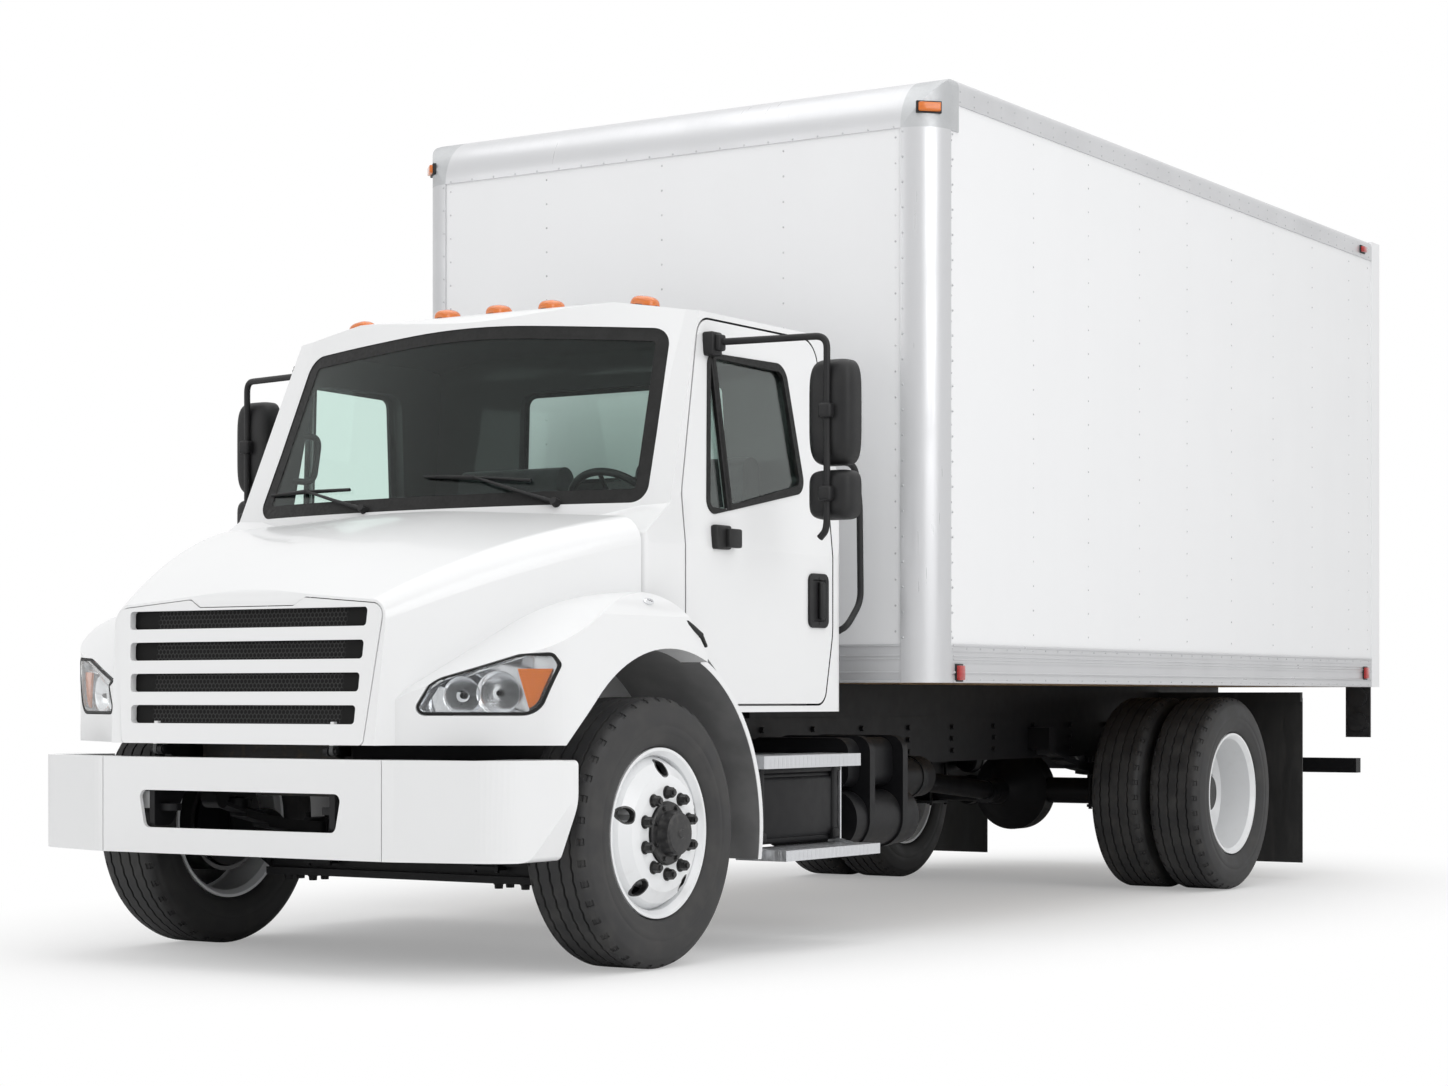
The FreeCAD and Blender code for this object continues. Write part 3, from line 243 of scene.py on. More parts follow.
rail_low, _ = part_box("frame_rails")
WEB_X, BOLT_START, BOLT_PITCH, BOLT_ROWS = 0.432, 1.35, 0.42, 13
BOLT_HEIGHTS, BOLT_DRIFT = (0.705, 0.76, 0.815), 0.004
bolts = bmesh.new()
for step in range(BOLT_ROWS):
    y = rail_low[1] + BOLT_START + step * BOLT_PITCH
    for z in BOLT_HEIGHTS:
        for side in (1, -1):
            drift = random.uniform(-BOLT_DRIFT, BOLT_DRIFT)
            hex_head(bolts, (side * WEB_X, y + drift, z), (side, 0, 0))
piece("frame_bolts", bolts, chassis, "chassis")


# ------------ axles and springs
# Forged beams, leaf packs and knuckles in the chassis black. Four brake chambers, each
# two dished cans in a clamp band, stand behind the rear axle, and the front beam has a
# lower flange, a web and the bolts of its spring pads.
chassis.on("axles", "leaf_springs", "knuckle_left", "knuckle_right", "tie_rod")


def spun(form, section, centre, way=(1, 0, 0), steps=48):
    """Adds a turned form: the section (along, radius) spun about a line through the centre."""
    axis = Vector(way).normalized()
    radial = axis.orthogonal().normalized()
    ring = [form.verts.new(Vector(centre) + axis * along + radial * r) for along, r in section]
    edges = [form.edges.new(pair) for pair in zip(ring, ring[1:])]
    bmesh.ops.spin(
        form, geom=ring + edges, cent=centre, axis=axis, angle=math.tau, steps=steps,
        use_merge=True,
    )


def rounded(form, edges, radius, steps):
    return bmesh.ops.bevel(
        form, geom=list(edges), offset=radius, segments=steps, profile=0.5, affect="EDGES",
        material=-1,
    )["verts"]


def block(form, low, high, radius=0.0, steps=2):
    """Adds a block between two corners, its edges rounded."""
    low, high = Vector(low), Vector(high)
    made = bmesh.ops.create_cube(form, size=1)["verts"]
    bmesh.ops.scale(form, vec=high - low, verts=made)
    bmesh.ops.translate(form, vec=(high + low) / 2, verts=made)
    if radius:
        made = rounded(form, {edge for vert in made for edge in vert.link_edges}, radius, steps)
    return made


chambers = bmesh.new()
CAN = [
    (0, 0), (0, 0.052), (0.01, 0.066), (0.058, 0.074), (0.064, 0.08), (0.084, 0.08),
    (0.09, 0.074), (0.14, 0.068), (0.152, 0.052), (0.152, 0),
]
FRONT_AXLE_Y, REAR_AXLE_Y = -2.9385, 2.0415
CHAMBER_X, CHAMBER_BEHIND, CHAMBER_HEIGHTS = 0.4, 0.19, (0.62, 0.45)
for side in (1, -1):
    for z in CHAMBER_HEIGHTS:
        centre = (side * CHAMBER_X, REAR_AXLE_Y + CHAMBER_BEHIND, z)
        spun(chambers, CAN, centre, (0, 1, 0.15), 32)
piece("brake_chambers", chambers, chassis, "chassis")

BEAM_HALF, BEAM_FOOT, FLANGE_TOP, BEAM_TOP = 0.66, 0.278, 0.305, 0.4
FLANGE_HALF, WEB_HALF, PAD_BOLTS_X, PAD_BOLTS_HALF = 0.05, 0.014, (0.44, 0.56), 0.034
beam = bmesh.new()
for half, low, high in ((FLANGE_HALF, BEAM_FOOT, FLANGE_TOP), (WEB_HALF, FLANGE_TOP, BEAM_TOP)):
    block(beam, (-BEAM_HALF, FRONT_AXLE_Y - half, low), (BEAM_HALF, FRONT_AXLE_Y + half, high))
for side in (1, -1):
    bar(beam, (side * BEAM_HALF, FRONT_AXLE_Y, 0.325), (side * 0.77, FRONT_AXLE_Y, BEAM_TOP), 0.03)
    for ahead in (-PAD_BOLTS_HALF, PAD_BOLTS_HALF):
        for x in PAD_BOLTS_X:
            hex_head(beam, (side * x, FRONT_AXLE_Y + ahead, BEAM_FOOT), (0, 0, -1), 0.03, 0.016)
piece("front_beam", beam, chassis, "chassis")


# ------------ engine and exhaust
# Cast engine block with its gearbox, cooler and silencer canister: bare iron that heat
# and road salt have given a dull brown crust.
iron = Finish("iron", (0.055, 0.054, 0.052), 0.62, 0.3)
crust = iron.noise(34.0, 6.0)
iron.paint(crust.ramp(0.45, 0.75), (0.03, 0.029, 0.028), (0.075, 0.06, 0.048))
iron.gloss(crust, 0.5, 0.75)
iron.bump(crust, 0.35, 0.002)
iron.on("engine_block", "radiator", "exhaust_canister")


# ------------ tyres
# Black rubber: five ribs between four zigzag grooves, notched shoulders, and sidewalls
# with fine rings. Each stands exactly where its plain solid does.
rubber = Finish("rubber", (0.03, 0.03, 0.031), 0.68)
worn = rubber.noise(11.0, 6.0)
rubber.paint(worn.ramp(0.35, 0.75), (0.02, 0.02, 0.021), (0.045, 0.044, 0.043))
rubber.gloss(worn, 0.58, 0.78)
rubber.bump(rubber.noise(230.0, 3.0), 0.2, 0.0008)

TYRE_R = 0.476
GROOVES, GROOVE_HALF, GROOVE_DEPTH = (0.024, 0.072), 0.0045, 0.011
TREAD_STEPS, ZIGZAG = 120, 0.0024
TREAD_HALF = [(0, TYRE_R)]
for middle in GROOVES:
    TREAD_HALF += [
        (middle - GROOVE_HALF, TYRE_R), (middle - GROOVE_HALF + 0.002, TYRE_R - GROOVE_DEPTH),
        (middle + GROOVE_HALF - 0.002, TYRE_R - GROOVE_DEPTH), (middle + GROOVE_HALF, TYRE_R),
    ]
WALL_HALF = [
    (0.098, 0.4755), (0.112, 0.47), (0.122, 0.46), (0.127, 0.449), (0.13, 0.446),
    (0.1325, 0.434), (0.1355, 0.414), (0.1372, 0.398), (0.1375, 0.381), (0.1367, 0.379),
    (0.1367, 0.374), (0.1372, 0.372), (0.136, 0.354), (0.1352, 0.352), (0.134, 0.346),
    (0.13, 0.328), (0.124, 0.314), (0.118, 0.307), (0.108, 0.303), (0.104, 0.297),
    (0.104, 0.288),
]


def moved_into(form, made):
    """Empties one form into another."""
    mesh = bpy.data.meshes.new("moved")
    made.to_mesh(mesh)
    made.free()
    form.from_mesh(mesh)
    bpy.data.meshes.remove(mesh)


def tyre(form, centre):
    """Adds one tyre: a spun profile whose ribs zigzag and whose shoulders are notched."""
    half = TREAD_HALF + WALL_HALF
    loop = [(-x, r) for x, r in reversed(half)] + half[1:]
    made = bmesh.new()
    spun(made, loop + [loop[0]], centre, (1, 0, 0), TREAD_STEPS)
    bmesh.ops.remove_doubles(made, verts=made.verts, dist=1e-5)
    turn = math.tau / TREAD_STEPS
    for vert in made.verts:
        step = round(math.atan2(vert.co.z - centre[2], vert.co.y - centre[1]) / turn)
        away = abs(vert.co.x - centre[0])
        if 0.015 < away < 0.08:
            vert.co.x += ZIGZAG if step % 2 else -ZIGZAG
    notches = []
    for face in made.faces:
        middle = face.calc_center_median()
        step = math.atan2(middle.z - centre[2], middle.y - centre[1]) / turn
        if 0.1 < abs(middle.x - centre[0]) < 0.124 and math.floor(step) % 3 == 0:
            if math.hypot(middle.y - centre[1], middle.z - centre[2]) > 0.455:
                notches.append(face)
    bmesh.ops.recalc_face_normals(made, faces=made.faces)
    bmesh.ops.inset_individual(made, faces=notches, thickness=0.003, depth=-0.005)
    moved_into(form, made)


AXLE_Z = 0.476
FRONT_X, DUAL_X, DUAL_HALF = 1.0, 0.925, 0.155
SIDES = ((1, "left"), (-1, "right"))
for side, word in SIDES:
    form = bmesh.new()
    tyre(form, (side * FRONT_X, FRONT_AXLE_Y, AXLE_Z))
    body = f"front_{word}_wheel"
    piece(f"front_tyre_{word}_tread", form, rubber, body, [f"front_tyre_{word}"])
    form = bmesh.new()
    for offset in (DUAL_HALF, -DUAL_HALF):
        tyre(form, (side * (DUAL_X + offset), REAR_AXLE_Y, AXLE_Z))
    body = f"rear_{word}_wheels"
    piece(f"rear_tyres_{word}_tread", form, rubber, body, [f"rear_tyres_{word}"])


# ------------ wheels
# Pressed steel discs in white enamel with five hand holes, each ringed with painted shade
# that stands for the shadow inside it. The hub and drum inside them are black, and ten
# black nuts hold each disc round a black hub cover. A black ring of painted shade stands
# behind each front disc, where the white rim barrel would show through the holes.
disc = Finish("disc", (0.78, 0.79, 0.8), 0.34, Coat_Weight=0.2, Coat_Roughness=0.15)
along = disc.axis(1)
height = disc.axis(2) - AXLE_Z
nearer = (along - FRONT_AXLE_Y).math("ABSOLUTE").math("MINIMUM", (along - REAR_AXLE_Y).math("ABSOLUTE"))
reach = (nearer * nearer + height * height).math("SQRT")
hub_zone = reach.ramp(0.1135, 0.1115)
drum_zone = reach.ramp(0.2005, 0.1975) * disc.aside().ramp(1.06, 1.05)
front_zone = along.ramp(-1.0, -1.1)
rear_drum = reach.ramp(0.2005, 0.1975) * disc.aside().ramp(0.905, 0.9)
dark = hub_zone.math("MAXIMUM", drum_zone * front_zone).math("MAXIMUM", rear_drum * (1 - front_zone))
profile = disc.scaled((0, 1, 1))
nearest_hole = reach
HOLE_CIRCLE = 0.226
for k in range(5):
    turn = math.radians(90 + 72 * k)
    run, rise = HOLE_CIRCLE * math.cos(turn), HOLE_CIRCLE * math.sin(turn)
    hole = (0, FRONT_AXLE_Y + run, AXLE_Z + rise)
    away = disc.vector("DISTANCE", profile, hole)
    nearest_hole = nearest_hole.math("MINIMUM", away)
# Painted shade: the disc is blackened in a ring round each front hand hole, for the shadow seen into it.
painted_hand_hole_shade = nearest_hole.ramp(0.0325, 0.0315) * reach.ramp(0.19, 0.2)
dark = dark.math("MAXIMUM", painted_hand_hole_shade * front_zone * disc.aside().ramp(1.05, 1.06))
grime = disc.noise(16.0, 5.0).ramp(0.55, 0.9)
base = disc.blend(grime * 0.25, (0.8, 0.81, 0.82), (0.52, 0.5, 0.48))
# The hub and drum are black. The rings round the hand holes are painted shade.
disc.paint(dark, base, (0.018, 0.018, 0.018))
disc.feed("Roughness", grime * 0.25 + 0.3)
disc.bump(disc.noise(120.0, 3.0), 0.08, 0.0006)
disc.on("front_rim_left", "front_rim_right", "rear_rims_left", "rear_rims_right")

hub_black = Finish("hub_black", (0.022, 0.022, 0.023), 0.38, 0.2)
speck = hub_black.noise(60.0, 4.0)
hub_black.paint(speck.ramp(0.4, 0.8), (0.018, 0.018, 0.019), (0.05, 0.048, 0.046))
hub_black.gloss(speck, 0.3, 0.5)
hub_black.bump(speck, 0.15, 0.0008)

# Bolt circles as (count, radius, across the head, its height, how far out it stands)
NUTS, COVER_BOLTS = (10, 0.1429, 0.036, 0.026, 0.0), (8, 0.094, 0.015, 0.006, 0.014)
STUD, FRONT_FACE_X, REAR_FACE_X = 0.036, 1.148, 0.937
# Hub covers and the ring of painted shade as (along the axle, radius)
FRONT_COVER = [
    (0.0005, 0.108), (0.01, 0.11), (0.014, 0.106), (0.016, 0.082), (0.024, 0.078), (0.052, 0.075),
    (0.06, 0.068), (0.0612, 0.05), (0.0612, 0.018), (0.066, 0.014), (0.066, 0),
]
REAR_COVER = [
    (0.0005, 0.106), (0.016, 0.108), (0.02, 0.104), (0.034, 0.093), (0.13, 0.092), (0.138, 0.088),
    (0.14, 0.06), (0.14, 0),
]
SHADE_RING = [(0.0, 0.198), (0.0, 0.268), (0.003, 0.268), (0.003, 0.198), (0.0, 0.198)]
SHADE_RING_X = 1.062


def wheel_fixings(name, body, side, face_x, axle_y, cover):
    """Nuts on their studs round the disc, and the hub's cover with its own small bolts."""
    form = bmesh.new()
    spun(form, [(side * run, r) for run, r in cover], (side * face_x, axle_y, AXLE_Z))
    for count, circle, across, height, stand in (NUTS, COVER_BOLTS):
        for k in range(count):
            angle = math.tau * (k + 0.5) / count
            run, rise = circle * math.cos(angle), circle * math.sin(angle)
            place = (side * (face_x + stand), axle_y + run, AXLE_Z + rise)
            hex_head(form, place, (side, 0, 0), across, height)
            if count == NUTS[0]:
                tip = Vector(place) + Vector((side * STUD, 0, 0))
                bar(form, place, tip, 0.0105, 0.0095, 12)
    piece(name, form, hub_black, body)


for side, word in SIDES:
    front, rear = f"front_{word}_wheel", f"rear_{word}_wheels"
    wheel_fixings(f"front_hub_{word}", front, side, FRONT_FACE_X, FRONT_AXLE_Y, FRONT_COVER)
    # Painted shade: a flat black ring in the cavity behind each front disc, for the shadow seen through
    # its hand holes.
    shade_ring = bmesh.new()
    spun(shade_ring, SHADE_RING, (side * SHADE_RING_X, FRONT_AXLE_Y, AXLE_Z))
    piece(f"painted_shade_ring_{word}", shade_ring, hub_black, front)
    wheel_fixings(f"rear_hub_{word}", rear, side, REAR_FACE_X, REAR_AXLE_Y, REAR_COVER)


# ------------ battery box, tanks and steps
# A smooth moulded cover under two straps between aluminium treads, whose rows of round
# holes are dots of painted shade on their tops, with a bump. Behind it is the fuel tank,
# and two strapped air tanks hang from the rails.
chassis.on("battery_box", "fuel_tank")

tread = Finish("tread", (0.62, 0.63, 0.65), 0.38, 0.85)
across, along, up = tread.axis(0), tread.axis(1), tread.facing_up()
pitch = math.tau / 0.03
dots = (across * pitch).math("SINE") * (along * pitch).math("SINE")
# Painted shade: dark dots on the treads' tops stand for the shadow seen through their holes.
painted_tread_hole_shade = dots.ramp(0.45, 0.6) * up.ramp(0.7, 0.9)
tread.paint(painted_tread_hole_shade, (0.64, 0.65, 0.67), (0.03, 0.03, 0.031))
tread.gloss(tread.noise(50.0, 4.0), 0.3, 0.46)
tread.bump(dots.ramp(0.2, 0.7), 0.5, 0.0015)
tread.on("cab_steps")


cover_low, cover_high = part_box("battery_box")
covers = bmesh.new()
x, start, end = cover_high[0], cover_low[1], cover_high[1]
block(covers, (x - 0.33, start - 0.006, 0.664), (x + 0.012, end + 0.006, 0.684), 0.006)
block(covers, (x - 0.02, start + 0.05, 0.415), (x + 0.01, end - 0.05, 0.652), 0.02, 4)
for y in (start + 0.028, end - 0.066):
    block(covers, (x - 0.02, y, 0.4), (x + 0.016, y + 0.038, 0.69), 0.008, 3)
    block(covers, (x - 0.02, y - 0.004, 0.405), (x + 0.024, y + 0.042, 0.445), 0.008, 3)
piece("battery_cover", covers, chassis, "chassis")

tanks = bmesh.new()
AIR_TANK = [
    (0, 0), (0.006, 0.045), (0.022, 0.078), (0.045, 0.09), (0.535, 0.09), (0.558, 0.078),
    (0.574, 0.045), (0.58, 0),
]
TANK_X, TANK_Z, RAIL_FACE_X, STRAPS, STRAP_WIDTH = 0.545, 0.6, 0.436, (0.12, 0.42), 0.035
STRAP = [(0, 0.088), (0, 0.094), (STRAP_WIDTH, 0.094), (STRAP_WIDTH, 0.088)]
for side, start in ((1, -0.55), (-1, -0.05)):
    spun(tanks, AIR_TANK, (side * TANK_X, start, TANK_Z), (0, 1, 0), 32)
    inner, outer = sorted((side * RAIL_FACE_X, side * TANK_X))
    for run in STRAPS:
        strap = [(run + along, radius) for along, radius in STRAP]
        spun(tanks, strap, (side * TANK_X, start, TANK_Z), (0, 1, 0), 32)
        ahead = start + run
        block(tanks, (inner, ahead, 0.64), (outer, ahead + STRAP_WIDTH, 0.7), 0.004)
piece("air_tanks", tanks, chassis, "chassis")


# ------------ bumper, hood and cab paint
# Pressed and moulded panels in one coat of white enamel with a clear gloss over it. The
# cab's inner faces are dark, and painted shade darkens the hood's hinge ears in the gap
# below the hood and the panels behind the grille.
CAB_CENTRE, WHITE = (0.0, -2.19, 1.7), (0.8, 0.805, 0.81)
enamel = Finish("enamel", WHITE, 0.3, Coat_Weight=0.35, Coat_Roughness=0.08)
film = enamel.axis(2).ramp(0.75, 0.4) * enamel.noise(3.1, 5.0).ramp(0.35, 0.75)
cloud = enamel.noise(0.9, 2.0).ramp(0.3, 0.7)
coat = enamel.blend(film * 0.1 + cloud * 0.04, WHITE, (0.7, 0.7, 0.7))
outward = enamel.node("ShaderNodeNewGeometry", {}, output=1)
spread = enamel.vector("SUBTRACT", enamel.place, CAB_CENTRE)
facing = enamel.vector("DOT_PRODUCT", spread, outward)
dark_inside_and_gap_shade = facing.ramp(-0.02, -0.06) * enamel.axis(1).ramp(-2.925, -2.915)
# Painted shade: the hinge ears in the gap below the hood and the panels behind the grille are painted
# near black.
painted_gap_shade = enamel.axis(2).ramp(0.789, 0.787) * enamel.axis(2).ramp(0.743, 0.745)
painted_shade_behind_grille = enamel.axis(1).ramp(-3.8005, -3.7995) * enamel.axis(2).ramp(0.9, 0.88)
painted_gap_shade = painted_gap_shade.math("MAXIMUM", painted_shade_behind_grille * enamel.aside().ramp(0.46, 0.45))
dark_inside_and_gap_shade = dark_inside_and_gap_shade.math("MAXIMUM", painted_gap_shade * enamel.axis(1).ramp(-3.2, -3.3))
enamel.paint(dark_inside_and_gap_shade, coat, (0.022, 0.023, 0.024))
enamel.feed("Roughness", enamel.noise(2.0, 2.0).ramp(0.3, 0.7, 0.28, 0.31) + dark_inside_and_gap_shade * 0.4)
enamel.bump(enamel.noise(260.0, 2.0), 0.04, 0.0004)
enamel.on("hood_shell", "grille_surround", "cab_shell", "door_left", "door_right", "bumper")

# The bumper's skin, closed where the ends of its braces come through it
BRACE_X, BRACE_Z, SKIN_AHEAD_Y = (0.69, 0.77), (0.55, 0.63), -3.77
skin = bmesh.new()
skin.from_mesh(nodes["bumper"].data)
bmesh.ops.remove_doubles(skin, verts=skin.verts, dist=1e-5)
skin.normal_update()
brace_ends = []
for face in skin.faces:
    x, y, z = face.calc_center_median()
    if BRACE_X[0] < abs(x) < BRACE_X[1] and BRACE_Z[0] < z < BRACE_Z[1] and y < SKIN_AHEAD_Y:
        brace_ends.append(face)
bmesh.ops.delete(skin, geom=brace_ends, context="FACES")
bmesh.ops.holes_fill(skin, edges=[edge for edge in skin.edges if edge.is_boundary], sides=0)
piece("bumper_skin", skin, enamel, "chassis", ["bumper"], 10)


# ------------ grille mesh and black trim
# Grained black polypropylene on the mirrors, handles and dashboard, a honeycomb mesh
# behind the grille's four slots whose cells are painted darker than its webs as painted
# shade, grey fender liners with a white outer lip, and rubber mudflaps.
moulding = Finish("moulding", (0.015, 0.015, 0.015), 0.52, Specular_IOR_Level=0.3)
pebble = moulding.noise(420.0, 2.0)
moulding.paint(moulding.noise(8.0, 3.0).ramp(0.3, 0.8), (0.011, 0.011, 0.012), (0.018, 0.018, 0.018))
moulding.gloss(pebble, 0.42, 0.58)
moulding.bump(pebble, 0.25, 0.0006)
moulding.on("dashboard", "grab_handles", "mirror_left", "mirror_right", "cab_mounts", "roof_lamps")

mesh_black = Finish("mesh_black", (0.012, 0.012, 0.012), 0.5, Specular_IOR_Level=0.3)
CELL = math.tau / 0.015
sideways, upright = mesh_black.axis(0), mesh_black.axis(2)
slope = math.sin(math.radians(60))
first = (upright * CELL).math("COSINE")
second = (upright * (CELL * 0.5) + sideways * (CELL * slope)).math("COSINE")
third = (upright * (CELL * 0.5) - sideways * (CELL * slope)).math("COSINE")
web = (first + second + third).ramp(-0.4, -1.1) * sideways.math("ABSOLUTE").ramp(0.44, 0.42)
# Painted shade: the cells between the webs are darker, for the shade seen through the mesh.
mesh_black.paint(web, (0.004, 0.004, 0.004), (0.018, 0.018, 0.018))
mesh_black.feed("Roughness", web.ramp(0.0, 1.0, 0.8, 0.4))
mesh_black.bump(web, 0.8, 0.004)
mesh_black.on("grille_mesh")

liner = Finish("liner", (0.1, 0.1, 0.1), 0.55)
mottle = liner.noise(12.0, 5.0)
from_axle = liner.vector("SUBTRACT", liner.place, (0, FRONT_AXLE_Y, AXLE_Z))
spread = liner.vector("MULTIPLY", from_axle, (0, 1, 1))
crown = liner.vector("LENGTH", spread)
edge = liner.aside().ramp(1.127, 1.1285)
grey = liner.blend(mottle.ramp(0.3, 0.75), (0.17, 0.17, 0.172), (0.22, 0.22, 0.22))
outer_side = crown.ramp(0.655, 0.657).math("MAXIMUM", edge)
liner.paint(outer_side, grey, WHITE)
liner.gloss(mottle, 0.5, 0.72)
liner.bump(liner.noise(180.0, 2.0), 0.15, 0.0008)
liner.on("quarter_fenders")

flap = Finish("flap", (0.018, 0.018, 0.018), 0.75)
scuff = flap.noise(1.0, 5.0, flap.scaled((30.0, 30.0, 6.0)))
flap.paint(scuff.ramp(0.4, 0.8), (0.012, 0.012, 0.012), (0.03, 0.029, 0.028))
flap.gloss(scuff, 0.62, 0.85)
flap.bump(scuff, 0.2, 0.001)
flap.on("mudflaps")


# ------------ headlamps
# A chromed bowl with two round reflectors and an amber turn lamp outboard of them,
# under a clear cover in a black rubber rim.
LAMP_RIM, LAMP_DEPTH = 0.009, 0.085
chrome = Finish("chrome", (0.8, 0.81, 0.83), 0.1, 0.75)
haze = chrome.noise(9.0, 4.0)
chrome.paint(haze.ramp(0.3, 0.8), (0.82, 0.83, 0.85), (0.62, 0.63, 0.65))
chrome.gloss(haze, 0.08, 0.2)
chrome.bump(chrome.noise(30.0, 2.0), 0.06, 0.001)


def lens(name, bright, dark, **constants):
    """A moulded lens with fine upright flutes."""
    made = Finish(name, bright, 0.12, Coat_Weight=0.6, Coat_Roughness=0.05, IOR=1.49, **constants)
    flutes = made.node("ShaderNodeTexWave", {"bands_direction": "Z"}, made.place, 60.0, 0.3)
    made.paint(flutes.ramp(0.2, 0.9), dark, bright)
    made.feed("Roughness", flutes.ramp(0.0, 1.0, 0.08, 0.2))
    made.bump(flutes, 0.3, 0.001)
    return made


amber = lens("amber", (0.82, 0.2, 0.008), (0.52, 0.11, 0.004))
red = lens("red", (0.5, 0.015, 0.012), (0.3, 0.008, 0.008))
cover = Finish("cover", (0.97, 0.98, 0.98), 0.02, Transmission_Weight=1.0, IOR=1.2)
cover.feed("Roughness", cover.noise(6.0, 3.0).ramp(0.3, 0.8, 0.0, 0.04))
seal = Finish("seal", (0.008, 0.008, 0.008), 0.5, Specular_IOR_Level=0.25)
seal.paint(seal.noise(14.0, 4.0).ramp(0.3, 0.7), (0.006, 0.006, 0.006), (0.011, 0.011, 0.011))
seal.gloss(seal.noise(90.0, 3.0), 0.42, 0.6)
seal.bump(seal.noise(300.0, 2.0), 0.1, 0.0004)


def sheet_of(node, wanted, share=1.0):
    """The largest run of a solid's faces that pass a test, scaled towards its middle."""
    form = bmesh.new()
    form.from_mesh(nodes[node].data)
    bmesh.ops.remove_doubles(form, verts=form.verts, dist=1e-5)
    form.normal_update()
    left = {face for face in form.faces if wanted(face.normal, face.calc_center_median())}
    best, best_area = set(), 0.0
    while left:
        run, reached = set(), [left.pop()]
        while reached:
            face = reached.pop()
            run.add(face)
            for edge in face.edges:
                for other in edge.link_faces:
                    if other in left:
                        left.discard(other)
                        reached.append(other)
        area = sum(face.calc_area() for face in run)
        if area > best_area:
            best, best_area = run, area
    bmesh.ops.delete(form, geom=[face for face in form.faces if face not in best], context="FACES")
    form.normal_update()
    for edge in form.edges:
        edge.tag = edge.is_boundary
    middle = sum((vert.co for vert in form.verts), Vector()) / len(form.verts)
    place = Matrix.Translation(-middle)
    bmesh.ops.scale(form, vec=(share, share, share), space=place, verts=form.verts)
    return form


def rubber_rim(form, width, rise, depth):
    """Turns a sheet into a band of a width along its edge, a little off it, and thickens it."""
    surface = BVHTree.FromBMesh(form)
    middle = sum((vert.co for vert in form.verts), Vector()) / len(form.verts)
    bmesh.ops.delete(form, geom=form.faces[:], context="FACES_ONLY")
    inner = [edge for edge in form.edges if not edge.tag]
    bmesh.ops.delete(form, geom=inner, context="EDGES")
    bmesh.ops.delete(form, geom=[vert for vert in form.verts if not vert.link_edges], context="VERTS")
    bmesh.ops.remove_doubles(form, verts=form.verts, dist=0.003)
    moves = {}
    for vert in form.verts:
        ends = [edge.other_vert(vert).co for edge in vert.link_edges]
        normal = surface.find_nearest(vert.co)[1]
        inward = normal.cross(ends[0] - ends[-1]).normalized()
        if inward.dot(middle - vert.co) < 0:
            inward = -inward
        moves[tuple(vert.co)] = inward * width
    made = bmesh.ops.extrude_edge_only(form, edges=form.edges[:])["geom"]
    for vert in (item for item in made if isinstance(item, bmesh.types.BMVert)):
        vert.co += moves[tuple(vert.co)]
    made = bmesh.ops.extrude_face_region(form, geom=form.faces[:], use_keep_orig=True)["geom"]
    lifted = {item for item in made if isinstance(item, bmesh.types.BMVert)}
    for vert in form.verts:
        place, normal = surface.find_nearest(vert.co)[:2]
        vert.co = place + normal * (rise if vert in lifted else rise - depth)


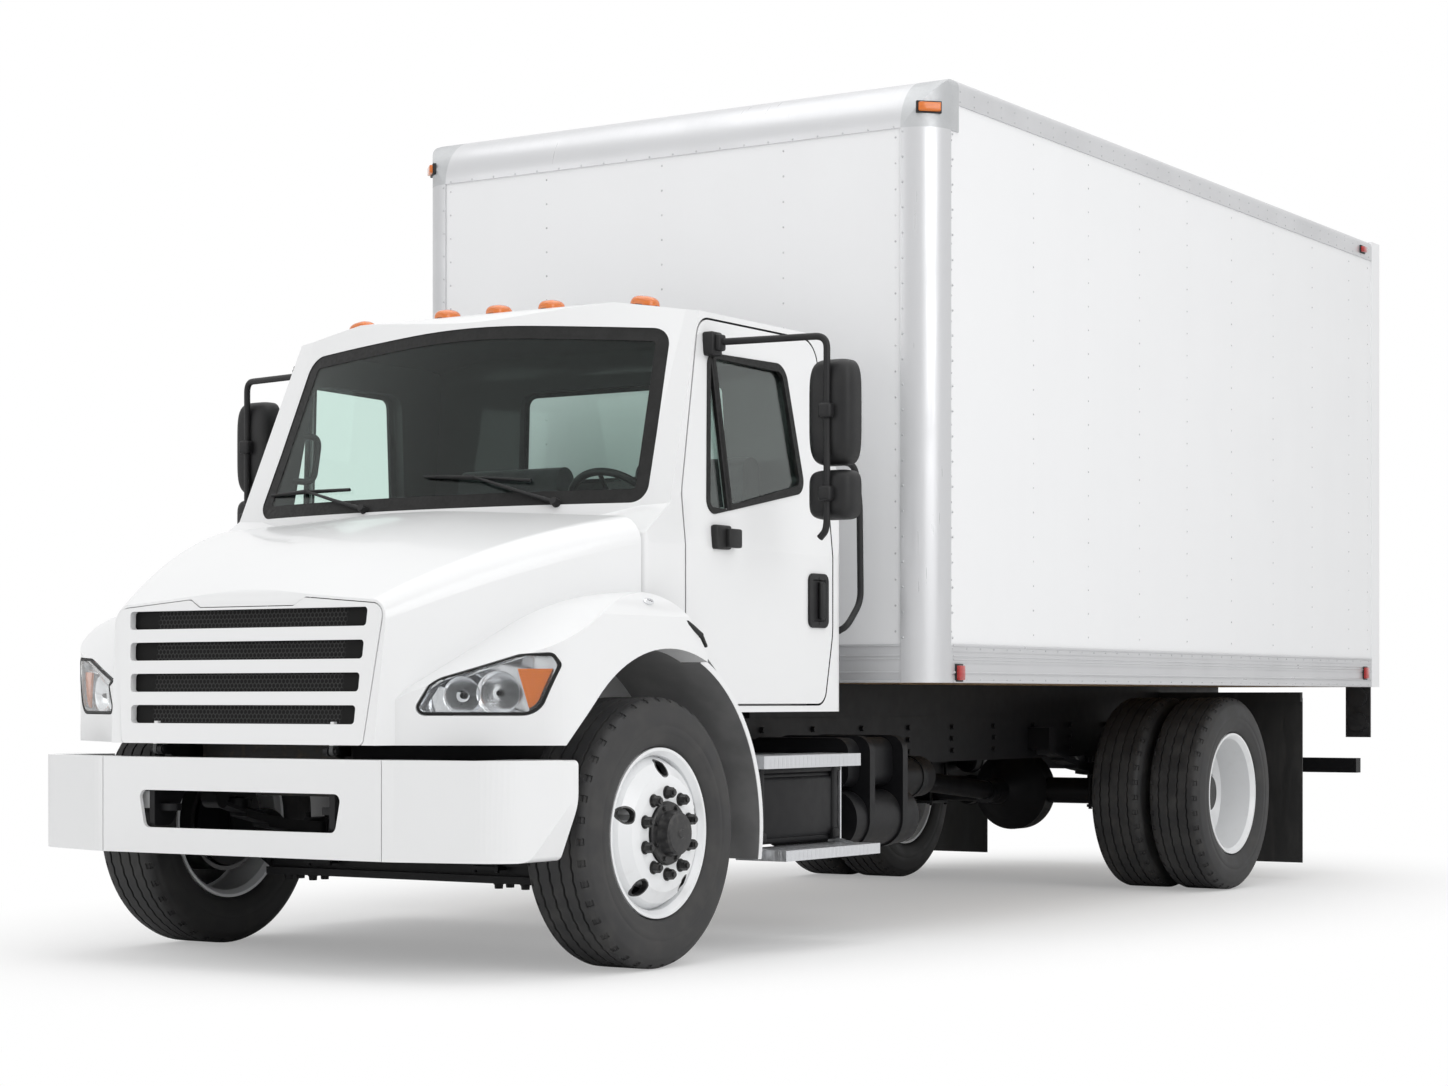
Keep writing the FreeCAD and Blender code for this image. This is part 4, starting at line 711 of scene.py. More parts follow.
for side, word in SIDES:
    def lamp_front(normal, middle):
        return middle.x * side > 0 and normal.y < -0.3

    rim = sheet_of("headlamps", lamp_front)
    rubber_rim(rim, LAMP_RIM, 0.001, 0.006)
    piece(f"headlamp_rim_{word}", rim, seal, "hood")

    glass = sheet_of("headlamps", lamp_front, 0.985)
    bmesh.ops.solidify(glass, geom=glass.faces, thickness=0.003)
    piece(f"headlamp_cover_{word}", glass, cover, "hood", ["headlamps"])

    bowl = sheet_of("headlamps", lamp_front, 0.975)
    inward = Vector((-side * 0.35, 0.94, 0)) * LAMP_DEPTH
    bmesh.ops.translate(bowl, vec=inward * 0.08, verts=bowl.verts)
    pushed = bmesh.ops.extrude_face_region(bowl, geom=bowl.faces[:])["geom"]
    backs = [item for item in pushed if isinstance(item, bmesh.types.BMVert)]
    bmesh.ops.translate(bowl, vec=inward, verts=backs)
    back_faces = {item for item in pushed if isinstance(item, bmesh.types.BMFace)}
    fronts = [
        face for face in bowl.faces
        if face not in back_faces and not any(vert in backs for vert in face.verts)
    ]
    bmesh.ops.delete(bowl, geom=fronts, context="FACES")
    piece(f"headlamp_bowl_{word}", bowl, chrome, "hood")

    # Reflectors as (x, y, z, opening radius), turned about the lamp's own axis
    reflectors = bmesh.new()
    bulbs = bmesh.new()
    facing_out = Vector((side * 0.4, -0.9, 0.0)).normalized()
    for x, y, z, opening in ((0.8, -3.655, 0.958, 0.062), (0.912, -3.6, 0.965, 0.072)):
        centre = (side * x, y, z)
        dish = [(-0.05 + 0.042 * (k / 6) ** 2, opening * (0.12 + 0.88 * k / 6)) for k in range(7)]
        dish += [(-0.006, opening * 1.04), (-0.05, opening * 0.5), (-0.056, opening * 0.12)]
        spun(reflectors, dish + [dish[0]], centre, facing_out, 40)
        stem = [(-0.054, 0.0), (-0.054, 0.012), (-0.026, 0.012), (-0.012, 0.008), (-0.006, 0.0)]
        spun(bulbs, stem, centre, facing_out, 20)
    piece(f"headlamp_reflectors_{word}", reflectors, chrome, "hood")
    piece(f"headlamp_bulbs_{word}", bulbs, moulding, "hood")

    turn_lamp = sheet_of("headlamps", lamp_front, 0.86)
    for place, way in (((side * 1.005, 0, 0.97), (side, 0, 0.25)), ((0, 0, 1.046), (0, 0, -1))):
        halves = turn_lamp.verts[:] + turn_lamp.edges[:] + turn_lamp.faces[:]
        bmesh.ops.bisect_plane(
            turn_lamp, geom=halves, plane_co=Vector(place), plane_no=Vector(way), clear_inner=True,
        )
    bmesh.ops.translate(turn_lamp, vec=inward * 0.2, verts=turn_lamp.verts)
    bmesh.ops.solidify(turn_lamp, geom=turn_lamp.faces, thickness=0.01)
    piece(f"turn_lamp_{word}", turn_lamp, amber, "hood")


# ------------ hood latches
# A black rubber strap pulls each side of the hood down on the cowl, over a dark gap
# where fender and cab meet. A chromed oval repeater lamp is clipped in above each.
latches = bmesh.new()
for side in (1, -1):
    for start, end, radius in (
        ((1.118, -2.905, 1.262), (1.15, -2.85, 1.232), 0.006),
        ((1.152, -2.838, 1.222), (1.166, -2.745, 1.17), 0.013),
        ((1.166, -2.745, 1.17), (1.16, -2.705, 1.132), 0.008),
    ):
        run = [(side * x, y, z) for x, y, z in (start, end)]
        bar(latches, run[0], run[1], radius, radius * 0.8, 12)
piece("hood_latches", latches, moulding, "hood")

REPEATER_X, REPEATER_Y, REPEATER_Z, REPEATER_HALF = 1.143, -3.043, 1.283, (0.03, 0.014, 0.007)
ovals = bmesh.new()
for side in (1, -1):
    stand = standing((side * REPEATER_X, REPEATER_Y, REPEATER_Z), (side * 0.82, 0, 0.57))
    made = bmesh.ops.create_uvsphere(ovals, u_segments=32, v_segments=16, radius=1)["verts"]
    bmesh.ops.scale(ovals, vec=REPEATER_HALF, verts=made)
    bmesh.ops.transform(ovals, matrix=stand, verts=made)
piece("side_repeaters", ovals, chrome, "hood")


# ------------ cab inside
# Seats of moulded foam on plain bases, covered in charcoal cloth of a fine weave that is
# pulled tight and clipped underneath.
cloth = Finish("cloth", (0.055, 0.056, 0.06), 0.85, Sheen_Weight=0.3)
weave = cloth.node("ShaderNodeTexWave", {"bands_direction": "Z"}, cloth.place, 180.0, 1.5)
cloth.paint(cloth.noise(14.0, 3.0).ramp(0.3, 0.7), (0.03, 0.031, 0.034), (0.052, 0.053, 0.057))
cloth.feed("Roughness", weave.ramp(0.0, 1.0, 0.8, 0.92))
cloth.bump(weave, 0.25, 0.001)
cloth.on("seats")


# ------------ windows
# Laminated safety glass with a grey-green tint, bonded behind a black border at the
# front and held in black rubber in the doors.
glazing = Finish("glazing", (0.8, 0.91, 0.87), 0.0, Transmission_Weight=1.0, IOR=1.25)
glazing.feed("Roughness", glazing.noise(4.0, 4.0).ramp(0.4, 0.8, 0.0, 0.01))
glazing.on("cab_glass")
door_glazing = Finish("door_glazing", (0.78, 0.89, 0.85), 0.0, Transmission_Weight=1.0, IOR=1.42)
door_glazing.feed("Roughness", door_glazing.noise(4.0, 4.0).ramp(0.4, 0.8, 0.0, 0.01))
door_glazing.on("door_glass_left", "door_glass_right")

WINDSHIELD_BORDER, WINDOW_RUBBER, PANE_OVERLAP = 0.055, {"front": 0.024, "rear": 0.032}, 1.045
# How far the door's skin stands outside its glass, and where its two panes meet
SKIN_RISE, DIVIDER_Y = 0.0142, -2.36

border = sheet_of("cab_glass", lambda normal, middle: normal.y < -0.3 and middle.y < -2.0)
windshield = BVHTree.FromBMesh(border)
rubber_rim(border, WINDSHIELD_BORDER, 0.0015, 0.003)
piece("windshield_border", border, seal, "chassis")
border = sheet_of("cab_glass", lambda normal, middle: normal.y > 0.3 and middle.y > -1.9)
rubber_rim(border, 0.02, 0.0015, 0.003)
piece("rear_window_rubber", border, seal, "chassis")

for side, word in SIDES:
    def pane_front(normal, middle):
        return normal.x * side > 0.5 and middle.y < DIVIDER_Y

    def pane_rear(normal, middle):
        return normal.x * side > 0.5 and middle.y > DIVIDER_Y

    for name, wanted in (("front", pane_front), ("rear", pane_rear)):
        border = sheet_of(f"door_glass_{word}", wanted, PANE_OVERLAP)
        rubber_rim(border, WINDOW_RUBBER[name], SKIN_RISE + 0.003, SKIN_RISE)
        piece(f"window_rubber_{name}_{word}", border, seal, f"{word}_door")


# ------------ wipers
# Two black steel arms on spindles through the cowl, each sprung down on a slim rubber
# blade that follows the glass.
def on_glass(x, z, off):
    """The point a small way off the windshield at a place across and up it."""
    place, normal, _, _ = windshield.ray_cast(Vector((x, -6, z)), Vector((0, 1, 0)))
    if place is None:
        place, normal, _, _ = windshield.find_nearest(Vector((x, -2.85, z)))
    return place + normal.normalized() * off


wipers = bmesh.new()
# Wipers as (spindle x, z), (blade's outer end x, z), (blade's inner end x, z)
for spindle, outer, inner in (
    ((-0.296, 1.66), (-0.88, 1.745), (-0.4, 1.742)),
    ((0.577, 1.655), (-0.03, 1.776), (0.455, 1.742)),
):
    root = on_glass(spindle[0], spindle[1], 0.014)
    tip, tail = on_glass(*outer, 0.01), on_glass(*inner, 0.01)
    middle = on_glass((outer[0] + inner[0]) / 2, (outer[1] + inner[1]) / 2, 0.022)
    elbow = root.lerp(middle, 0.45) + Vector((0, -0.012, 0))
    bar(wipers, root + Vector((0, 0.012, -0.004)), root + Vector((0, -0.014, 0.006)), 0.018, 0.014)
    bar(wipers, root, elbow, 0.0085, 0.007, 10)
    bar(wipers, elbow, middle, 0.007, 0.005, 10)
    for start, end in ((tip, middle), (middle, tail)):
        bar(wipers, start, end, 0.0036, 0.00675, 8)
    steps = 8
    for k in range(steps):
        ends = [
            on_glass(outer[0] + (inner[0] - outer[0]) * f, outer[1] + (inner[1] - outer[1]) * f, 0.006)
            for f in (k / steps, (k + 1) / steps)
        ]
        bar(wipers, ends[0], ends[1], 0.0045, sides=8)
piece("wipers", wipers, moulding, "chassis")


# ------------ door handles
# A moulded black pull in a shallow black pan near each door's back edge, held by two
# screws through the door's skin.
def pad(form, low, high, corner, edge):
    """Adds a plate on a side of the cab: its outline's corners rounded, then its rim."""
    made = block(form, low, high)
    edges = {item for vert in made for item in vert.link_edges}
    through = [item for item in edges if abs((item.verts[0].co - item.verts[1].co).x) > 1e-6]
    made = rounded(form, through, corner, 8)
    faces = {face for vert in made for face in vert.link_faces}
    front = max(faces, key=lambda face: face.calc_center_median().x)
    rounded(form, front.edges, edge, 3)
    reach = max(face.calc_center_median().x for face in form.faces)
    return next(face for face in form.faces if face.calc_center_median().x > reach - 1e-6)


def to_side(form, side):
    """Turns a form made for the left side over to the right where that is asked."""
    if side < 0:
        bmesh.ops.scale(form, vec=(-1, 1, 1), verts=form.verts)


DOOR_X = 1.04
for side, word in SIDES:
    handle = bmesh.new()
    front = pad(handle, (DOOR_X - 0.004, -1.8, 1.22), (DOOR_X + 0.01, -1.655, 1.43), 0.03, 0.003)
    bmesh.ops.inset_region(handle, faces=[front], thickness=0.02, depth=0.0)
    bmesh.ops.inset_region(handle, faces=[front], thickness=0.006, depth=-0.0075)
    block(handle, (DOOR_X + 0.002, -1.73, 1.252), (DOOR_X + 0.021, -1.696, 1.398), 0.008, 3)
    for z in (1.236, 1.414):
        bar(handle, (DOOR_X + 0.006, -1.727, z), (DOOR_X + 0.0115, -1.727, z), 0.006, 0.005, 12)
    to_side(handle, side)
    piece(f"door_handle_{word}", handle, moulding, f"{word}_door")


# ------------ mirrors and grab handles
# Swollen housings clamped on a bent tube, with silvered glass in their backs and moulded
# feet on the door. Bent tubes also stand behind the doors and inside the windshield's
# pillars.
silver = Finish("silver", (0.8, 0.82, 0.84), 0.04, 1.0)
silver.paint(silver.noise(5.0, 3.0).ramp(0.3, 0.8), (0.8, 0.82, 0.84), (0.74, 0.76, 0.78))
silver.gloss(silver.noise(18.0, 3.0), 0.02, 0.07)
silver.bump(silver.noise(2.0, 1.0), 0.02, 0.001)


def bent(form, route, radius, bend=0.045):
    """Adds a round tube along straight runs whose corners are smooth bends."""
    points = [Vector(place) for place in route]
    line = [points[0]]
    for before, corner, after in zip(points, points[1:], points[2:]):
        ends = []
        for other in (before, after):
            run = other - corner
            ends.append(corner + run.normalized() * min(bend, run.length * 0.45))
        for k in range(9):
            share = k / 8
            line.append(ends[0].lerp(corner, share).lerp(corner.lerp(ends[1], share), share))
    line.append(points[-1])
    curve = bpy.data.curves.new("tube", "CURVE")
    curve.dimensions = "3D"
    curve.bevel_depth = radius
    curve.bevel_resolution = 4
    curve.use_fill_caps = True
    spline = curve.splines.new("POLY")
    spline.points.add(len(line) - 1)
    for point, place in zip(spline.points, line):
        point.co = (*place, 1)
    holder = bpy.data.objects.new("tube", curve)
    mesh = bpy.data.meshes.new_from_object(holder)
    form.from_mesh(mesh)
    bpy.data.objects.remove(holder)
    bpy.data.curves.remove(curve)
    bpy.data.meshes.remove(mesh)


def pillow(form, low, high, back, fullness=0.42):
    """Adds a swollen housing between two corners, cut flat at its back."""
    low, high = Vector(low), Vector(high)
    made = bmesh.new()
    bmesh.ops.create_uvsphere(made, u_segments=64, v_segments=32, radius=1)
    for vert in made.verts:
        vert.co = Vector(math.copysign(abs(part) ** fullness, part) for part in vert.co)
    bmesh.ops.scale(made, vec=(high - low) / 2, verts=made.verts)
    bmesh.ops.translate(made, vec=(high + low) / 2, verts=made.verts)
    every = made.verts[:] + made.edges[:] + made.faces[:]
    bmesh.ops.bisect_plane(made, geom=every, plane_co=(0, back, 0), plane_no=(0, 1, 0), clear_outer=True)
    bmesh.ops.holes_fill(made, edges=[edge for edge in made.edges if edge.is_boundary], sides=0)
    moved_into(form, made)


ARM_X, ARM_Y, ARM_R, MIRROR_BACK_Y = 1.405, -2.2745, 0.013, -2.172
HEADS = ((1.8, 2.19), (1.602, 1.784))
# The arm's feet on the door as (low corner, high corner, edge radius)
FEET = (
    ((0.966, -2.436, 2.208), (1.014, -2.366, 2.296), 0.009),
    ((1.006, -2.42, 2.225), (1.034, -2.372, 2.286), 0.009),
    ((1.03, -2.48, 1.493), (1.062, -2.375, 1.582), 0.01),
    ((1.055, -2.42, 1.5), (1.082, -2.335, 1.57), 0.008),
)
for side, word in SIDES:
    housing = bmesh.new()
    glass = bmesh.new()
    bent(housing, [
        (1.0, -2.3985, 2.258), (ARM_X, ARM_Y, 2.268), (ARM_X, ARM_Y, 1.562), (1.375, ARM_Y, 1.532),
    ], ARM_R)
    for low, high in HEADS:
        pillow(housing, (1.306, -2.268, low), (1.492, -2.06, high), MIRROR_BACK_Y)
        block(glass, (1.324, -2.1735, low + 0.022), (1.474, -2.1685, high - 0.022), 0.002)
        middle = (low + high) / 2
        block(housing, (1.378, -2.302, middle - 0.028), (1.432, -2.25, middle + 0.028), 0.012, 4)
    for low, high, radius in FEET:
        block(housing, low, high, radius, 3)
    to_side(housing, side)
    to_side(glass, side)
    body = f"{word}_door"
    piece(f"mirror_housing_{word}", housing, moulding, body, [f"mirror_{word}"])
    piece(f"mirror_glass_{word}", glass, silver, body)

DOOR_LOOP = (
    (1.01, -1.5265, 1.88), (1.062, -1.479, 1.872), (1.062, -1.4385, 1.72),
    (1.062, -1.4305, 1.33), (1.058, -1.5285, 1.232), (1.02, -1.5385, 1.21),
)
PILLAR_LOOP = (
    (0.9, -2.56, 1.815), (0.845, -2.5, 1.81), (0.84, -2.47, 1.99), (0.89, -2.51, 2.0),
)
handles = bmesh.new()
for side in (1, -1):
    for loop in (DOOR_LOOP, PILLAR_LOOP):
        bent(handles, [(side * x, y, z) for x, y, z in loop], ARM_R)
piece("bent_handles", handles, moulding, "chassis", ["grab_handles"])


# ------------ roof lamps
# Five amber clearance lamps across the cab's roof, each a low moulded dome snapped over
# a black foot that is screwed down through a gasket.
LAMP_X, LAMP_Y, LAMP_HALF = (0, 0.252, -0.252, 0.682, -0.682), -2.39, (0.043, 0.055, 0.04)
roof = bmesh.new()
roof.from_mesh(nodes["cab_shell"].data)
roof_surface = BVHTree.FromBMesh(roof)
roof.free()
domes = bmesh.new()
feet = bmesh.new()
for x in LAMP_X:
    place, normal, _, _ = roof_surface.ray_cast(Vector((x, LAMP_Y, 4)), Vector((0, 0, -1)))
    stand = standing(place, normal)
    made = bmesh.ops.create_uvsphere(domes, u_segments=32, v_segments=16, radius=1)["verts"]
    for vert in made:
        vert.co = Vector(math.copysign(abs(part) ** 0.7, part) for part in vert.co)
        vert.co.z = max(vert.co.z, 0.1)
    bmesh.ops.scale(domes, vec=LAMP_HALF, verts=made)
    bmesh.ops.transform(domes, matrix=stand, verts=made)
    foot = bmesh.ops.create_cone(
        feet, cap_ends=True, segments=48, radius1=1.06, radius2=1.02, depth=1.0,
    )["verts"]
    bmesh.ops.scale(feet, vec=(*LAMP_HALF[:2], 0.012), verts=foot)
    bmesh.ops.transform(feet, matrix=stand, verts=foot)
piece("roof_lamp_domes", domes, amber, "chassis", ["roof_lamps"])
piece("roof_lamp_feet", feet, moulding, "chassis")


# ------------ van body skins
# White prefinished aluminium sheet, with a flatter coat than the cab's, riveted to the
# posts inside it in upright rows.
sheet = Finish("sheet", (0.811, 0.815, 0.825), 0.42, Coat_Weight=0.12, Coat_Roughness=0.2)
streak = sheet.noise(1.0, 5.0, sheet.scaled((5.0, 5.0, 0.35))).ramp(0.45, 0.8)
sheet.paint(streak * 0.12, (0.815, 0.82, 0.83), (0.753, 0.758, 0.772))
sheet.gloss(sheet.noise(3.0, 4.0), 0.36, 0.48)
sheet.bump(sheet.noise(1.6, 2.0), 0.06, 0.003)
sheet.on("box_walls", "roll_up_door", "box_rear_frame")

SKIN_X, FRONT_SKIN_Y = 1.294, -1.2605
RIVET_R, RIVET_RISE, COLUMN_PITCH, RIVET_PITCH = 0.0055, 0.0022, 0.54, 0.105
WALL_LOW, WALL_HIGH = 1.215, 3.29
SIDE_START, FIRST_POST, SIDE_END, POSTS = -1.105, -0.3685, 3.7, 8


def row(form, start, end, pitch, out):
    """A line of rivets from point to point at about a pitch."""
    start, end, out = Vector(start), Vector(end), Vector(out)
    count = max(1, round((end - start).length / pitch))
    for k in range(count + 1):
        base = start.lerp(end, k / count)
        bar(form, base - out * 0.001, base + out * RIVET_RISE, RIVET_R, RIVET_R * 0.55, 8)


rivets = bmesh.new()
for side in (1, -1):
    out = (side, 0, 0)
    columns = [FIRST_POST + k * COLUMN_PITCH for k in range(POSTS)]
    for y in (SIDE_START, *columns, SIDE_END):
        row(rivets, (side * SKIN_X, y, WALL_LOW), (side * SKIN_X, y, WALL_HIGH), RIVET_PITCH, out)
for x in (-1.125, -0.6, 0.0, 0.6, 1.125):
    row(rivets, (x, FRONT_SKIN_Y, WALL_LOW), (x, FRONT_SKIN_Y, 3.19), RIVET_PITCH, (0, -1, 0))
rivet_zinc = Finish("rivet_zinc", (0.55, 0.55, 0.56), 0.45, 0.4)
tarnish = rivet_zinc.noise(24.0, 3.0)
rivet_zinc.paint(tarnish.ramp(0.3, 0.7), (0.6, 0.6, 0.61), (0.44, 0.44, 0.45))
rivet_zinc.gloss(tarnish, 0.38, 0.52)
rivet_zinc.bump(rivet_zinc.noise(400.0, 2.0), 0.1, 0.0004)
piece("wall_rivets", rivets, rivet_zinc, "chassis")


# ------------ body rails and corners
# Extruded aluminium rails with raised beads, rounded posts, a pressed nose rail and cast
# corner caps, all riveted through, and a plain sheet roof between the top rails.
extrusion = Finish("extrusion", (0.622, 0.626, 0.638), 0.34, 0.6)
drawn = extrusion.noise(1.0, 4.0, extrusion.scaled((160.0, 4.0, 4.0)))
bloom = extrusion.noise(2.2, 5.0).ramp(0.4, 0.75)
extrusion.paint(bloom * 0.3, (0.588, 0.592, 0.605), (0.504, 0.508, 0.517))
extrusion.feed("Roughness", drawn.ramp(0.2, 0.8, 0.26, 0.4) + bloom * 0.1)
extrusion.bump(drawn, 0.06, 0.0005)
extrusion.on("box_rails", "box_corner_posts")

roof_skin = Finish("roof_skin", (0.66, 0.67, 0.68), 0.62, 0.25, Specular_IOR_Level=0.3)
grime = roof_skin.noise(2.2, 5.0).ramp(0.35, 0.75)
roof_skin.paint(grime, (0.68, 0.69, 0.7), (0.6, 0.6, 0.6))
roof_skin.gloss(roof_skin.noise(14.0, 4.0), 0.58, 0.68)
roof_skin.on("box_roof")

casting = Finish("casting", (0.46, 0.47, 0.48), 0.45, 0.5)
grain = casting.noise(90.0, 3.0)
casting.paint(casting.noise(6.0, 4.0).ramp(0.3, 0.8), (0.5, 0.51, 0.52), (0.42, 0.43, 0.44))
casting.gloss(grain, 0.4, 0.52)
casting.bump(grain, 0.2, 0.001)
casting.on("box_corner_caps")

# Raised beads as (height, width), and the rail across the front wall's foot
SIDE_BEADS = ((1.16, 0.01), (1.118, 0.006), (1.104, 0.006), (1.052, 0.008), (1.015, 0.01))
FRONT_RAIL_X, FRONT_RAIL_Y, FRONT_RAIL_LOW, FRONT_RAIL_HIGH = 1.148, -1.2605, 1.012, 1.165
beads = bmesh.new()
for z, width in SIDE_BEADS:
    low, high = z - width / 2, z + width / 2
    for side in (1, -1):
        inner, outer = sorted((side * 1.299, side * 1.3035))
        block(beads, (inner, -1.1, low), (outer, 3.745, high), 0.0018)
    ahead = FRONT_RAIL_Y - 0.0058
    block(beads, (-FRONT_RAIL_X, ahead, low), (FRONT_RAIL_X, FRONT_RAIL_Y, high), 0.001)
ahead, behind = FRONT_RAIL_Y - 0.003, FRONT_RAIL_Y + 0.002
block(
    beads, (-FRONT_RAIL_X, ahead, FRONT_RAIL_LOW), (FRONT_RAIL_X, behind, FRONT_RAIL_HIGH), 0.001,
)
piece("rail_beads", beads, extrusion, "chassis")

POST_X, POST_Y, POST_R = 1.15, -1.1165, 0.15
RAIL_X, NOSE_X, NOSE_Y, POST_LOW, POST_HIGH = 1.3, 1.16, -1.2665, 1.19, 3.21
RAIL_ROWS = ((SIDE_START, 1.022), (SIDE_START, 1.148), (-1.04, 3.35), (-1.04, 3.392))
rail_rivets = bmesh.new()
for side in (1, -1):
    x, y = side * RAIL_X, POST_Y + 0.012
    for start, z in RAIL_ROWS:
        row(rail_rivets, (x, start, z), (x, SIDE_END, z), 0.12, (side, 0, 0))
    row(rail_rivets, (x, y, POST_LOW), (x, y, POST_HIGH), 0.1, (side, 0, 0))
    x = side * NOSE_X
    row(rail_rivets, (x, NOSE_Y, POST_LOW), (x, NOSE_Y, POST_HIGH), 0.1, (0, -1, 0))
row(rail_rivets, (-1.12, NOSE_Y, 3.232), (1.12, NOSE_Y, 3.232), 0.12, (0, -1, 0))
piece("rail_rivets", rail_rivets, casting, "chassis")


# ------------ marker lamps
# Amber lamps on the front corner caps and red ones along the side rails, each a bevelled
# lens in a dark base. The red ones are given as (y, z, width, height).
SIDE_MARKERS = (
    (-1.054, 1.05, 0.05, 0.06), (3.64, 1.085, 0.05, 0.06), (3.6, 3.378, 0.062, 0.03),
)
marker_base = bmesh.new()
marker_amber = bmesh.new()
marker_red = bmesh.new()


def marker(form, base_form, place, heading, width, height):
    """A lamp on a face whose outward heading is an angle about the upright."""
    turn = Matrix.Translation(Vector(place)) @ Matrix.Rotation(heading, 4, "Z")
    for target, half, rise, depth, soft in (
        (base_form, (width / 2 + 0.006, height / 2 + 0.006), 0.006, 0.01, 0.002),
        (form, (width / 2, height / 2), 0.02, 0.01, 0.005),
    ):
        made = block(target, (-depth, -half[0], -half[1]), (rise, half[0], half[1]), soft)
        bmesh.ops.transform(target, matrix=turn, verts=made)


for side in (1, -1):
    heading = math.radians(-45 if side > 0 else -135)
    corner = (side * (POST_X + POST_R * math.sqrt(0.5)), POST_Y - POST_R * math.sqrt(0.5), 3.303)
    marker(marker_amber, marker_base, corner, heading, 0.092, 0.036)
    flat = 0.0 if side > 0 else math.pi
    for y, z, width, height in SIDE_MARKERS:
        marker(marker_red, marker_base, (side * RAIL_X, y, z), flat, width, height)
piece("marker_bases", marker_base, moulding, "chassis")
piece("marker_amber", marker_amber, amber, "chassis")
piece("marker_red", marker_red, red, "chassis")


# ------------ tail lamps
# Red lenses that face back from black cans, bolted on steel plates under the body's
# back corners.
can = Finish("can", (0.02, 0.02, 0.021), 0.45)
lit = can.axis(1).ramp(3.849, 3.8495)
lit_ring = lit * can.facing_up().math("ABSOLUTE").ramp(0.6, 0.4)
can.paint(lit_ring, (0.018, 0.018, 0.019), (0.45, 0.014, 0.012))
can.gloss(can.noise(40.0, 3.0), 0.3, 0.48)
can.bump(can.noise(120.0, 2.0), 0.1, 0.0006)
can.on("tail_lamps")


# ------------ rear door and plate
# The roller door's lock and two lift bars, the hinges and pins between its panels, and a
# blank number plate on the sill.
REAR_Y, DOOR_Y, DOOR_LOW, DOOR_HIGH, PANELS = 3.8735, 3.8215, 1.17, 3.24, 7
fittings = bmesh.new()
block(fittings, (-0.1, DOOR_Y - 0.004, 1.23), (0.1, DOOR_Y + 0.01, 1.33), 0.004)
block(fittings, (-0.035, DOOR_Y + 0.006, 1.255), (0.035, DOOR_Y + 0.034, 1.3), 0.008, 3)
for x in (-0.55, 0.55):
    bar(fittings, (x - 0.1, DOOR_Y + 0.03, 1.24), (x + 0.1, DOOR_Y + 0.03, 1.24), 0.008)
    for end in (x - 0.1, x + 0.1):
        bar(fittings, (end, DOOR_Y - 0.004, 1.24), (end, DOOR_Y + 0.036, 1.24), 0.008)
for k in range(1, PANELS):
    z = DOOR_LOW + k * (DOOR_HIGH - DOOR_LOW) / PANELS
    for x in (-1.1, -0.4, 0.4, 1.1):
        low = (x - 0.03, DOOR_Y - 0.004, z - 0.035)
        block(fittings, low, (x + 0.03, DOOR_Y + 0.004, z + 0.035), 0.002)
        bar(fittings, (x - 0.034, DOOR_Y + 0.005, z), (x + 0.034, DOOR_Y + 0.005, z), 0.005, sides=10)
piece("rear_fittings", fittings, extrusion, "chassis")

plate = bmesh.new()
block(plate, (-0.155, REAR_Y - 0.012, 1.035), (0.155, REAR_Y - 0.0005, 1.14), 0.003)
piece("number_plate", plate, sheet, "chassis")


# ------------ load floor
# Laminated oak planks that run the length of the body, tongued together and screwed
# down to the cross members.
oak = Finish("oak", (0.42, 0.3, 0.18), 0.55)
fibre = oak.noise(1.0, 6.0, oak.scaled((40.0, 2.5, 40.0)))
oak.paint(fibre.ramp(0.3, 0.7), (0.46, 0.33, 0.2), (0.3, 0.2, 0.11))
oak.gloss(fibre, 0.45, 0.65)
oak.bump(fibre, 0.2, 0.001)
oak.on("box_floor")


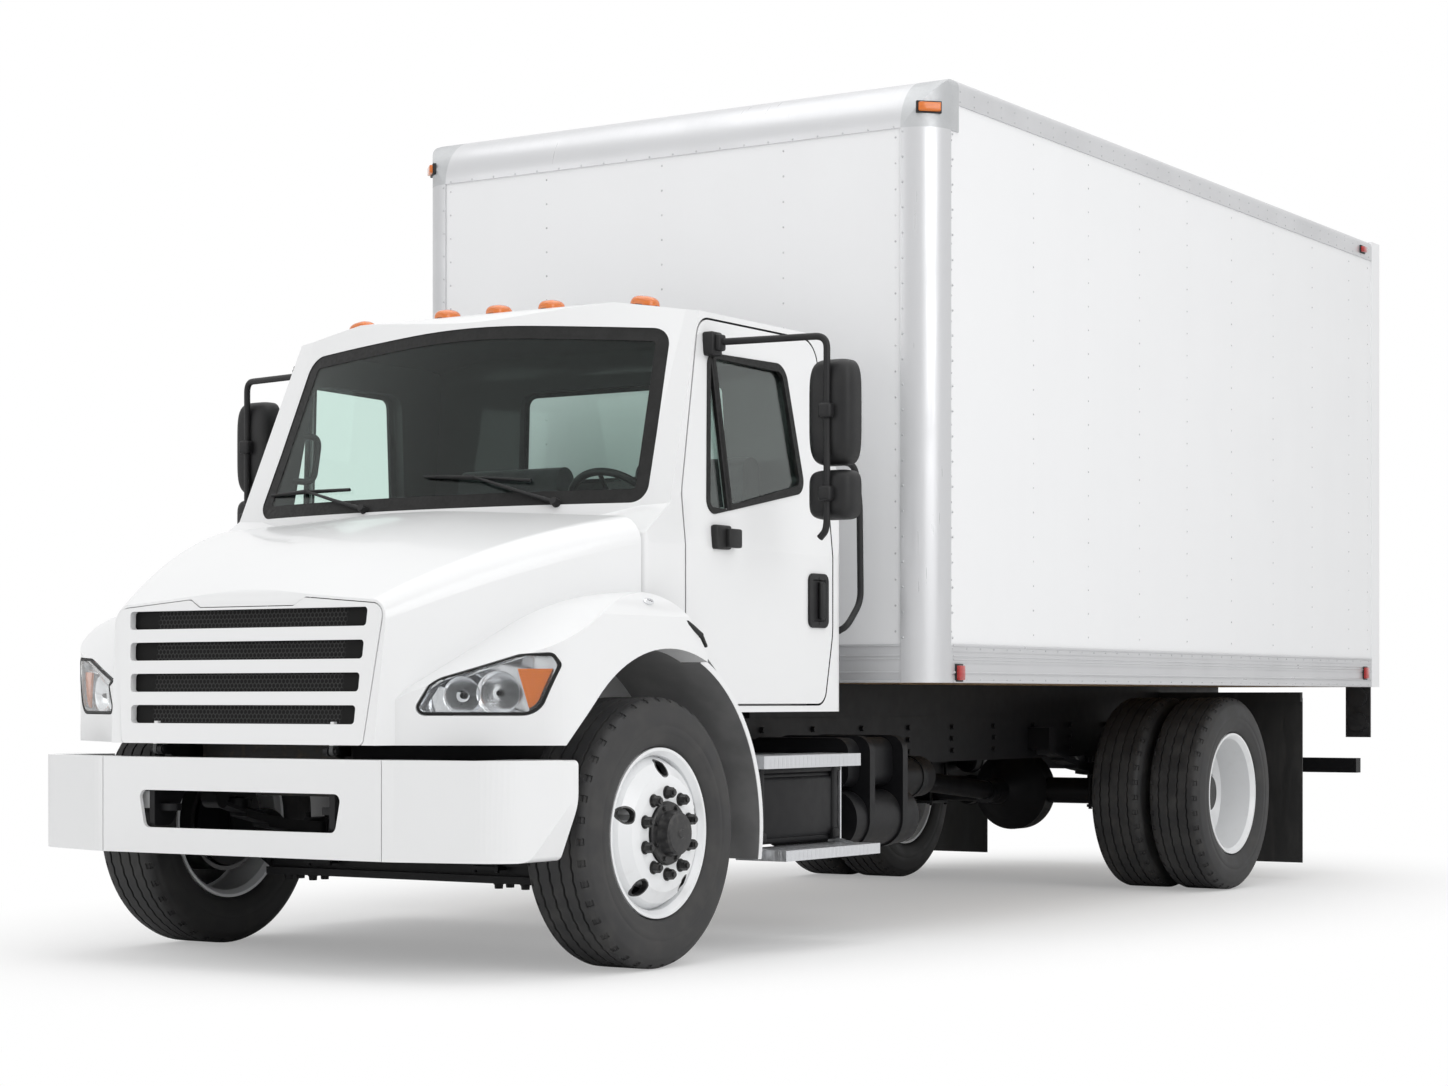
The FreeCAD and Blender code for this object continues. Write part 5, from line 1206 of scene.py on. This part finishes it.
# ------------ floor and light
# A pale studio floor that runs out of sight, under one big soft top light, a key from
# the truck's left front and a low fill.
bpy.ops.mesh.primitive_plane_add(size=160, location=(0, 0, -0.002))
floor = bpy.context.object
floor.name = "floor"
ground = Finish("ground", (0.92, 0.92, 0.92), 0.85, Specular_IOR_Level=0.0)
ground.paint(ground.noise(0.5, 2.0).ramp(0.3, 0.7), (0.92, 0.92, 0.92), (0.93, 0.93, 0.93))
out = ground.tree.nodes["Material Output"]
glow = ground.tree.nodes.new("ShaderNodeEmission")
glow.inputs["Strength"].default_value = 1.0
mix = ground.tree.nodes.new("ShaderNodeMixShader")
flat_place = ground.scaled((1.0, 0.55, 0.0))
distance = ground.vector("LENGTH", flat_place)
seen = ground.node("ShaderNodeLightPath", {}, output=0)
far = (0.3 + distance.ramp(1.6, 3.3) * 0.7) * seen
ground.tree.links.new(far.socket, mix.inputs[0])
ground.tree.links.new(ground.surface.outputs[0], mix.inputs[1])
ground.tree.links.new(glow.outputs[0], mix.inputs[2])
ground.tree.links.new(mix.outputs[0], out.inputs["Surface"])
floor.data.materials.append(ground.material)
floor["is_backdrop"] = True

world = bpy.data.worlds.new("studio")
scene.world = world
world.use_nodes = True
backdrop = world.node_tree
sky = backdrop.nodes["Background"]
sky.inputs["Color"].default_value = (1, 1, 1, 1)
path = backdrop.nodes.new("ShaderNodeLightPath")
seen = path.outputs["Is Camera Ray"]
for kind in ("Is Glossy Ray", "Is Transmission Ray"):
    either = backdrop.nodes.new("ShaderNodeMath")
    either.operation = "MAXIMUM"
    backdrop.links.new(seen, either.inputs[0])
    backdrop.links.new(path.outputs[kind], either.inputs[1])
    seen = either.outputs[0]
bright = backdrop.nodes.new("ShaderNodeMapRange")
bright.inputs["To Min"].default_value = 0.6
bright.inputs["To Max"].default_value = 1.0
backdrop.links.new(seen, bright.inputs["Value"])
backdrop.links.new(bright.outputs[0], sky.inputs["Strength"])

for name, where, size, power in (
    ("top", (1.0, -1.0, 11.0), 14.0, 700),
    ("key", (11.0, -5.0, 6.0), 7.0, 380),
    ("fill", (-6.0, -11.0, 3.5), 8.0, 165),
):
    lamp = bpy.data.lights.new(name, "AREA")
    lamp.size = size
    lamp.energy = power
    holder = bpy.data.objects.new(name, lamp)
    holder.location = where
    aim = Vector((0, 0, 1.2)) - Vector(where)
    holder.rotation_euler = aim.to_track_quat("-Z", "Y").to_euler()
    scene.collection.objects.link(holder)
scene.view_settings.view_transform = "Standard"

low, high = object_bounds()
